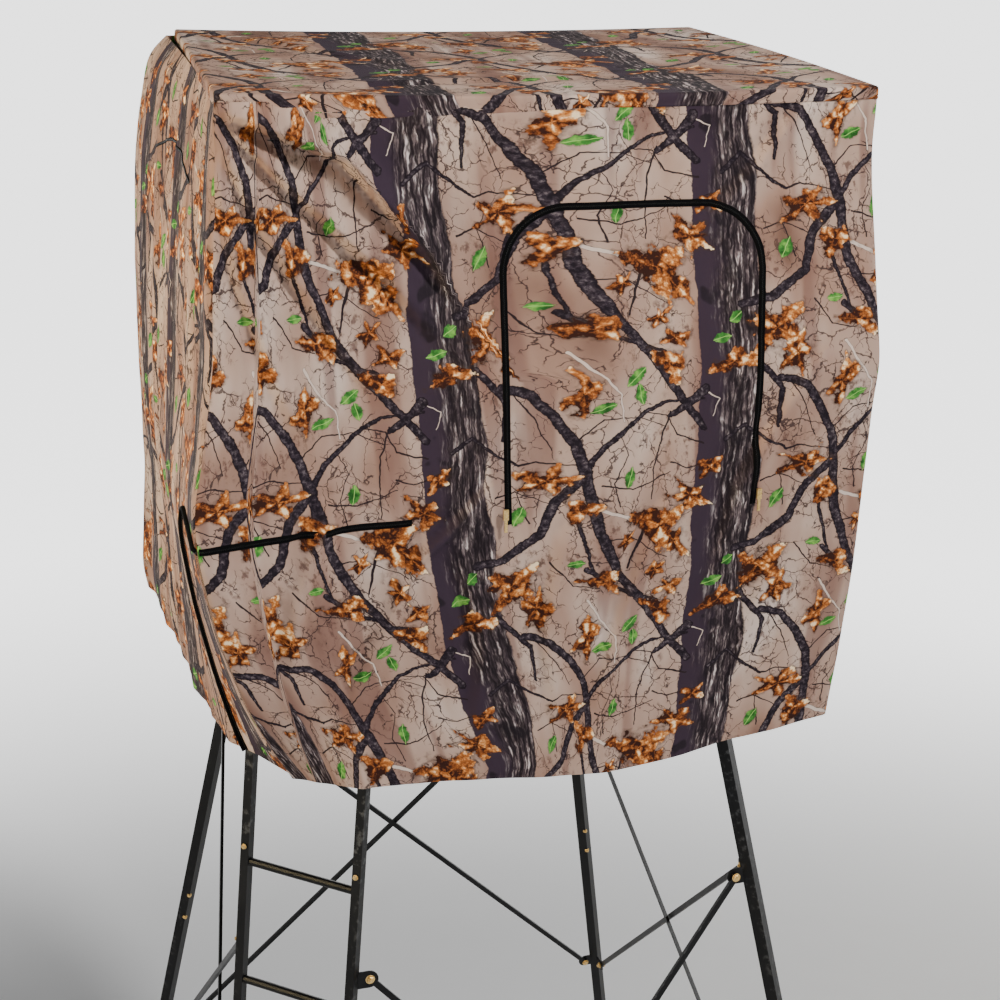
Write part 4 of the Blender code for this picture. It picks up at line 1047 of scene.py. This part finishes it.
def powder_coat():
    """Satin black powder coat: orange-peel surface, dust and wear on the edges."""
    net = Net("powder_coat")
    at = net.place()
    broad, fine = net.noise(at, 6.0, 3.0), net.noise(at, 420.0, 3.0, 0.6)
    colour = net.ramp(broad, [(0.3, (0.0030, 0.0030, 0.0032)), (0.7, (0.0065, 0.0065, 0.0068))])
    dust = net.step(net.noise(at, 34.0, 5.0, 0.7), 0.58, 0.78)
    colour = net.mix(net.mul(dust, 0.07), colour, (0.08, 0.076, 0.068))
    edge = net.node("NewGeometry", {}, "Pointiness")
    worn = net.mul(net.step(edge, 0.57, 0.68), net.step(net.noise(at, 60.0, 4.0), 0.5, 0.7))
    colour = net.mix(net.mul(worn, 0.45), colour, (0.16, 0.16, 0.16))
    net.set("Base Color", colour)
    net.set("Roughness", net.mul_add(broad, 0.22, 0.28))
    net.set("Specular IOR Level", 0.20)
    net.bump(net.mul_add(fine, 0.5, net.noise(at, 160.0, 2.0)), 0.10, 0.002)
    return net.mat


def yellow_zinc():
    """Yellow passivated zinc plate with a spangled sheen."""
    net = Net("yellow_zinc")
    at = net.place()
    grain = net.node("TexVoronoi", {"Vector": at, "Scale": 900.0}, "Color")
    tone = net.mul_add(net.split(grain)[0], 0.35, net.noise(at, 240.0, 3.0))
    stops = [(0.35, (0.46, 0.27, 0.07)), (0.60, (0.72, 0.47, 0.16)), (0.85, (0.82, 0.62, 0.30))]
    net.set("Base Color", net.ramp(tone, stops))
    net.set("Metallic", 0.9)
    net.set("Roughness", net.mul_add(tone, 0.25, 0.22))
    net.bump(net.noise(at, 1400.0, 2.0), 0.08, 0.0005)
    return net.mat


def rubber():
    """Dusty black rubber of the feet."""
    net = Net("foot_rubber")
    at = net.place()
    fine = net.noise(at, 300.0, 4.0, 0.65)
    dust = net.step(net.noise(at, 22.0, 5.0, 0.7), 0.45, 0.75)
    net.set("Base Color", net.mix(net.mul(dust, 0.35), (0.014, 0.014, 0.014), (0.060, 0.056, 0.050)))
    net.set("Roughness", net.mul_add(fine, 0.2, 0.66))
    net.bump(fine, 0.25, 0.0015)
    return net.mat


def expanded_mesh_deck():
    """Black coated steel of the deck grille, scuffed where boots go."""
    net = Net("deck_coat")
    at = net.place()
    scuff = net.step(net.noise(net.vec("MULTIPLY", at, (1.0, 2.4, 1.0)), 26.0, 5.0, 0.7), 0.54, 0.72)
    net.set("Base Color", net.mix(net.mul(scuff, 0.30), (0.011, 0.011, 0.012), (0.090, 0.086, 0.080)))
    net.set("Roughness", net.mul_add(scuff, 0.15, 0.42))
    net.bump(net.noise(at, 380.0, 3.0, 0.6), 0.15, 0.002)
    return net.mat


def zip_tape():
    """Black woven zip tape."""
    net = Net("zip_tape")
    u, v, _ = net.split(net.flat())
    rib = net.math("SINE", net.mul(u, 5200.0))
    weave = net.mul(rib, net.math("SINE", net.mul(v, 7800.0)))
    net.set("Base Color", net.ramp(net.mul_add(weave, 0.3, 0.5), [
        (0.2, (0.0012, 0.0012, 0.0013)), (0.8, (0.0040, 0.0040, 0.0042))]))
    net.set("Roughness", 0.80)
    net.set("Specular IOR Level", 0.06)
    net.bump(weave, 0.35, 0.0006)
    return net.mat


def zip_coil():
    """Shiny black plastic of the zip's teeth."""
    net = Net("zip_coil")
    at = net.place()
    net.set("Base Color", net.ramp(net.noise(at, 500.0, 2.0), [(0.3, (0.0012, 0.0012, 0.0012)),
                                                               (0.7, (0.0040, 0.0040, 0.0040))]))
    net.set("Specular IOR Level", 0.12)
    net.set("Roughness", net.mul_add(net.noise(at, 800.0, 2.0), 0.2, 0.28))
    net.bump(net.noise(at, 1500.0, 2.0), 0.1, 0.0004)
    return net.mat


def black_fabric(name, scale, tone):
    """Coarse black weave over foam, for the seats and the rail pads."""
    net = Net(name)
    at = net.place()
    x, y, z = net.split(at)
    a = net.math("SINE", net.mul(net.math("ADD", x, z), scale))
    b = net.math("SINE", net.mul(net.math("ADD", y, z), scale))
    weave = net.mul(a, b)
    lint = net.step(net.noise(at, 700.0, 2.0), 0.66, 0.74)
    colour = net.ramp(net.mul_add(weave, 0.35, 0.5), [(0.2, tuple(0.5 * t for t in tone)), (0.8, tone)])
    colour = net.mix(net.mul(lint, 0.16), colour, (0.12, 0.11, 0.10))
    net.set("Base Color", colour)
    net.set("Roughness", 0.88)
    net.set("Sheen Weight", 0.25)
    net.set("Sheen Roughness", 0.5)
    net.bump(net.mul_add(weave, 0.4, net.noise(at, 60.0, 3.0)), 0.35, 0.003)
    return net.mat


# ---- zips ----


def cloth_line(band, key, points, lift=0.0):
    """Points given on the drawn-tight cloth, as (place on the hung cloth, outward)."""
    return [band.spot(*band.find(key, a, z), lift) for a, z in points]


def add_zip(name, line, shift, tape, teeth):
    """One side of a zip: the woven tape, and on the wall's side the coil as well."""
    found = [strip(name + "_tape", moved_across(line, shift), ZIP_HALF, 0.0004, 0.0012, tape)]
    if teeth is not None:
        dense = resample([at for at, _ in line], COIL_STEP)
        count = len(line) - 1
        outs = [line[min(count, round(k * count / (len(dense) - 1)))][1] for k in range(len(dense))]
        found.append(coil(name + "_coil", list(zip(dense, outs)), 0.0008, teeth))
    return found


def build_zips(band, tape, teeth):
    """The window's arched zip and the door's zip, each with its wall side and its flap side."""
    arch = [(p.x, p.y) for p in resample(window_line(), ZIP_STEP)]
    arch[0] = (arch[0][0], WINDOW["low"] - 0.004)
    arch[-1] = (arch[-1][0], WINDOW["low"] - 0.004)
    window = cloth_line(band, "x", arch)
    side = [(p.x, p.y) for p in resample(door_side_line(), ZIP_STEP)]
    side = [p for p in side if p[0] > DOOR_SIDE_Y - DOOR_ROUND - 0.004 and p[1] > HEM_Z + 0.012]
    first = band.find("x", -0.362, DOOR_TOP_Z)[1]
    last = band.find("y", side[0][0], side[0][1])[1] - band.columns
    found = []
    for k in range(int((first - last) * 0.9)):
        column = first - k / 0.9
        heights = band.straight[:, int(round(column)) % band.columns, 2]
        row = float(np.interp(DOOR_TOP_Z, heights, np.arange(len(heights))))
        found.append(band.spot(row, column))
    found += cloth_line(band, "y", side)
    spots, outs = [at for at, _ in found], [out for _, out in found]
    line = []
    for at in resample(spots, ZIP_STEP):
        near = min(range(len(spots)), key=lambda k: (spots[k] - at).length)
        line.append((at, outs[near]))
    made = {"stand": [], "window_flap": [], "door_flap": []}
    made["stand"] += add_zip("window_zip_wall", window, -ZIP_HALF, tape, teeth)
    made["window_flap"] += add_zip("window_zip_flap", window, ZIP_HALF, tape, None)
    made["stand"] += add_zip("door_zip_wall", line, ZIP_HALF, tape, teeth)
    welt = moved_across([pair for pair in line if pair[1].x < -0.45], 0.0047)
    made["stand"].append(strip("door_zip_welt", welt, ZIP_HALF, 0.0, 0.0100, tape))
    vent = [(-0.30 + 0.02 * k, 5.030 - 0.55 * (0.02 * k - 0.30) ** 2) for k in range(31)]
    made["stand"] += add_zip("side_vent_zip", cloth_line(band, "y", vent, 0.001), 0.0, tape, teeth)
    made["door_flap"] += add_zip("door_zip_flap", line, -ZIP_HALF, tape, None)
    return made


# ---- foam, cushions and fixings ----


def rounded_pad(name, centre, size, crown, look, turn=Matrix.Identity(4)):
    """A stuffed cushion with a piped seam round its middle and stitched grooves on its face."""
    w, d, t = size
    nu, nv = 48, 40
    work = bmesh.new()
    grid = {}
    for face in (1, -1):
        for j in range(nv + 1):
            for i in range(nu + 1):
                if face == -1 and (i in (0, nu) or j in (0, nv)):
                    grid[face, i, j] = grid[1, i, j]
                    continue
                u, v = 2 * i / nu - 1, 2 * j / nv - 1
                x = u * w / 2 * (1 - 0.035 * v ** 8)
                y = v * d / 2 * (1 - 0.035 * u ** 8)
                edge = (1 - abs(u) ** 9) * (1 - abs(v) ** 9)
                groove = sum(math.exp(-((v - at) / 0.045) ** 2) for at in (-1 / 3, 1 / 3))
                z = face * (t / 2) * edge ** 0.42
                if face == 1:
                    z += crown * (1 - u * u) * (1 - v * v) - 0.0035 * groove * edge
                    z += 0.0015 * noise.noise(Vector((x * 18, y * 18, centre[0]))) * edge
                grid[face, i, j] = work.verts.new((x, y, z))
    for face in (1, -1):
        for j in range(nv):
            for i in range(nu):
                quad = [grid[face, i, j], grid[face, i + 1, j], grid[face, i + 1, j + 1],
                        grid[face, i, j + 1]]
                work.faces.new(quad if face == 1 else quad[::-1])
    ring = ([grid[1, i, 0].co for i in range(nu)] + [grid[1, nu, j].co for j in range(nv)]
            + [grid[1, i, nv].co for i in range(nu, 0, -1)] + [grid[1, 0, j].co for j in range(nv, 0, -1)])
    ring = [p.copy() for p in ring]
    pipe = []
    for k, p in enumerate(ring):
        run = (ring[(k + 1) % len(ring)] - ring[k - 1]).normalized()
        side, up = run.cross(Vector((0, 0, 1))).normalized(), Vector((0, 0, 1))
        pipe.append([work.verts.new(p + side * x + up * y)
                     for x, y in arc((0, 0), 0.0032, 0, 360, 8)[:-1]])
    for k, loop in enumerate(pipe):
        after = pipe[(k + 1) % len(pipe)]
        for s in range(8):
            work.faces.new((loop[s], after[s], after[(s + 1) % 8], loop[(s + 1) % 8]))
    mesh = bpy.data.meshes.new(name)
    write_outward(work, mesh)
    mesh.transform(Matrix.Translation(centre) @ turn)
    mesh.shade_smooth()
    return add_object(name, mesh, look)


def foam_sleeve(name, start, end, look):
    """A foam tube pushed over the rail, lying a little soft, with its cut ends rounded."""
    start, end = skewed(start), skewed(end)
    run = (end - start)
    long = run.length
    run.normalize()
    side = run.cross(Vector((0, 0, 1))).normalized()
    up = side.cross(run)
    rings, count, sides = [], 110, 28
    marks = [0.0, 0.0006, 0.002, 0.004] + [0.004 + (long - 0.008) * k / count
                                           for k in range(1, count)]
    marks += [long - 0.004, long - 0.002, long - 0.0006, long]
    for m in marks:
        end_gap = min(m, long - m)
        r = PAD_RADIUS - 0.004 * max(0.0, 1 - end_gap / 0.004) ** 2
        ring = []
        for s in range(sides):
            a = 2 * math.pi * s / sides
            wave = 0.0009 * noise.noise(Vector((m * 9, math.cos(a) * 2, math.sin(a) * 2)))
            flat = 0.0012 * max(0.0, math.sin(a)) ** 3
            ring.append(start + run * m + (side * math.cos(a) + up * math.sin(a)) * (r + wave - flat))
        rings.append(ring)
    inner = [start + side * x + up * y for x, y in arc((0, 0), 0.0127, 0, 360, sides)[:-1]]
    rings.insert(0, inner)
    rings.append([p + run * long for p in inner])
    verts = [p for ring in rings for p in ring]
    faces = []
    for k in range(len(rings)):
        a, b = k * sides, ((k + 1) % len(rings)) * sides
        for s in range(sides):
            faces.append((a + s, a + (s + 1) % sides, b + (s + 1) % sides, b + s))
    return closed_piece(name, verts, faces, look)


# Legs and ladder rails by where they stand at LEG_REF_Z and how they spread below it. Each brace
# runs from a high ear to a low one, on the outer or inner layer.
LEG_REF, LEG_SPREAD, EAR_REACH = (0.565, 0.678), 0.177, 0.046
LEG_JOINTS, LADDER_JOINTS = (2.390, 1.190), (3.390, 2.200, 1.010)
LEG_CORNERS = {"back_left": (-1, 1), "back_right": (1, 1), "front_right": (1, -1)}
BRACE_HIGH_Z = {"back_left": 3.140, "back_right": 3.140, "front_right": 3.140,
                "ladder_left": 3.078, "ladder_right": 3.078}
BRACE_LOW_Z = {"back_left": 1.800, "back_right": 1.800, "front_right": 1.660,
               "ladder_left": 1.630, "ladder_right": 1.630}
BRACES = {
    "back_a": ("back_left", "back_right", -1), "back_b": ("back_right", "back_left", 1),
    "right_a": ("back_right", "front_right", -1), "right_b": ("front_right", "back_right", 1),
    "front_a": ("front_right", "ladder_right", -1), "front_b": ("ladder_right", "front_right", 1),
    "left_a": ("ladder_left", "back_left", 1), "left_b": ("back_left", "ladder_left", -1),
}


def post_centre(post, z):
    """The middle of a leg or a ladder rail at a height."""
    if post in LEG_CORNERS:
        down = LEG_REF_Z - z
        sx, sy = LEG_CORNERS[post]
        return Vector((sx * (LEG_REF[0] + LEG_SPREAD * down), sy * (LEG_REF[1] + LEG_SPREAD * down), z))
    reach = LADDER_REF + LADDER_SPREAD * (LEG_REF_Z - z) + 0.120 * max(0.0, z - 3.620)
    side = 1 if post == "ladder_left" else -1
    return Vector((-reach, -reach, z)) + Vector((-1, 1, 0)).normalized() * (side * LADDER_WIDTH / 2)


def brace_bolts():
    """Bolt centres, axis and layer at both ends of every brace."""
    for start_post, end_post, layer in BRACES.values():
        high, low = BRACE_HIGH_Z[start_post], BRACE_LOW_Z[end_post]
        roots = [post_centre(start_post, high), post_centre(end_post, low)]
        lean = (post_centre(start_post, high + 1) - roots[0]).normalized()
        lean += (post_centre(end_post, low + 1) - roots[1]).normalized()
        ends = roots
        for _ in range(4):
            normal = lean.cross(ends[1] - ends[0]).normalized()
            side = Vector((0, 0, 1)).cross(normal).normalized()
            side *= math.copysign(1, side.dot(ends[1] - ends[0]))
            ends = [roots[0] + side * EAR_REACH, roots[1] - side * EAR_REACH]
        normal *= math.copysign(1, normal.y if abs(normal.y) > abs(normal.x) else normal.x)
        for end in ends:
            yield end, normal, layer


def hex_bolt(work, at, axis, reach_head, reach_nut, size):
    """Head and washer on one side of a joint, washer, nut and thread end on the other."""
    turn = Vector((0, 0, 1)).rotation_difference(axis).to_matrix().to_4x4()
    place = Matrix.Translation(at) @ turn

    def stack(profile, sides, phase=0.0):
        rings = [[work.verts.new(place @ Vector((r * math.cos(2 * math.pi * s / sides + phase),
                                                 r * math.sin(2 * math.pi * s / sides + phase), h)))
                  for s in range(sides)] for r, h in profile]
        for low, high in zip(rings, rings[1:]):
            for s in range(sides):
                work.faces.new((low[s], low[(s + 1) % sides], high[(s + 1) % sides], high[s]))
        work.faces.new(rings[0][::-1])
        work.faces.new(rings[-1])

    for sign, base in ((1, reach_head), (-1, reach_nut)):
        stack([(size * 1.22, sign * base), (size * 1.25, sign * (base + 0.0004)),
               (size * 1.25, sign * (base + 0.0012)), (size * 1.18, sign * (base + 0.0015))], 24)
        tall = 0.0062 if sign == 1 else 0.0070
        stack([(size, sign * (base + 0.0014)), (size, sign * (base + tall - 0.0008)),
               (size * 0.88, sign * (base + tall))], 6, 0.3)
    stack([(size * 0.50, -(reach_nut + 0.003)), (size * 0.50, -(reach_nut + 0.0105)),
           (size * 0.42, -(reach_nut + 0.0115))], 16)


def fixings(name, spots, look):
    """Bolts at (centre, axis, head's reach, nut's reach, size), as one piece."""
    work = bmesh.new()
    for at, axis, head, nut, size in spots:
        hex_bolt(work, at, axis, head, nut, size)
    mesh = bpy.data.meshes.new(name)
    write_outward(work, mesh)
    return add_object(name, mesh, look)


# ---- the scene ----


def dress_cad(yellow):
    """Gives every CAD node its material, and all but the feet and the deck a small bevel."""
    coat, deck, feet = powder_coat(), expanded_mesh_deck(), rubber()
    looks = {"platform_deck": deck, "zip_slider_window_left": yellow,
             "zip_slider_window_right": yellow}
    for name, node in NODES.items():
        look = looks.get(name, feet if name.startswith("foot_") else coat)
        node.data.materials.clear()
        node.data.materials.append(look)
        if node.hide_render or name.startswith(("foot_", "platform_deck")):
            continue
        bevel = node.modifiers.new("soft_edges", "BEVEL")
        bevel.width, bevel.segments, bevel.limit_method = 0.0012, 2, "ANGLE"
        bevel.angle_limit = math.radians(40)


def hang_blind():
    """Walls, window and door panel, roof and zips."""
    cloth = woodland_cloth()
    band = Band()
    walls = build_walls(band, cloth)
    roof = roof_cloth(cloth)
    zips = build_zips(band, zip_tape(), zip_coil())
    for name in WALLS:
        piece = walls[name]
        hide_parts(name)
        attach(piece, "stand")
    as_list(zips["stand"][:2])
    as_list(zips["stand"][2:])
    for piece in zips["stand"]:
        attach(piece, "stand")
    window_hinge, door_hinge = Vector((0.174, -0.79, WINDOW["low"])), Vector((-0.352, -0.78, 3.9))
    for name, start, end in (("window_flap", window_hinge, window_hinge + Vector((0, 0, WINDOW_BEND))),
                             ("door_flap", door_hinge, door_hinge - Vector((DOOR_BEND, 0, 0)))):
        piece = walls[name]
        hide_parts(name)
        for each in [piece] + zips[name]:
            tuple(start)
            tuple(end)
            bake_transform(each)
        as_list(zips[name])
    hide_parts("roof_cloth")
    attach(roof, "stand")


def add_cushions():
    """The seat and back cushions of both seats."""
    knit = black_fabric("seat_fabric", 1900.0, (0.030, 0.030, 0.032))
    upright = Matrix.Rotation(math.radians(90), 4, "X")
    for side, x in (("left", -0.340), ("right", 0.340)):
        pad = rounded_pad("seat_pad_" + side, (x, 0.206, 4.0896), (0.416, 0.348, 0.038), 0.002, knit)
        back = rounded_pad("seat_back_pad_" + side, (x, 0.3872, 4.3633), (0.356, 0.296, 0.024), 0.002,
                           knit, upright)
        for piece, node, body in ((pad, "seat_cushion_" + side, "seat_" + side),
                                  (back, "seat_back_cushion_" + side, "seat_back_" + side)):
            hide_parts(node)
            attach(piece, body)


def add_rail_foam():
    """Four foam sleeves on the shooting rail."""
    foam = black_fabric("pad_fabric", 2600.0, (0.022, 0.022, 0.023))
    half, z = RAIL_HALF, RAIL_Z
    for side, start, end in (("front", (-0.200, -half, z), (0.600, -half, z)),
                             ("right", (half, -0.600, z), (half, 0.600, z)),
                             ("back", (0.600, half, z), (-0.600, half, z)),
                             ("left", (-half, 0.600, z), (-half, -0.250, z))):
        piece = foam_sleeve("rail_foam_" + side, start, end, foam)
        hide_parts("rail_pad_" + side)
        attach(piece, "stand")


def add_bolts(yellow):
    """Bolts at the ends of the braces and at the joints of the leg and ladder sections."""
    spots = [(at, axis * layer, 0.0112, 0.0022, 0.0095) for at, axis, layer in brace_bolts()]
    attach(fixings("brace_bolts", spots, yellow), "stand")
    spots = []
    for post, (_, side) in LEG_CORNERS.items():
        for z in LEG_JOINTS:
            for dz in (0.045, -0.045):
                spots.append((post_centre(post, z + dz), Vector((0, side, 0)), 0.0182, 0.0182, 0.0062))
    outward = Vector((-1, -1, 0)).normalized()
    for post in ("ladder_left", "ladder_right"):
        for z in LADDER_JOINTS:
            spots.append((post_centre(post, z - 0.030), outward, 0.0142, 0.0142, 0.0058))
    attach(fixings("joint_bolts", spots, yellow), "stand")


make_camera()
make_stage()
hang_blind()
add_cushions()
add_rail_foam()
yellow = yellow_zinc()
dress_cad(yellow)
add_bolts(yellow)
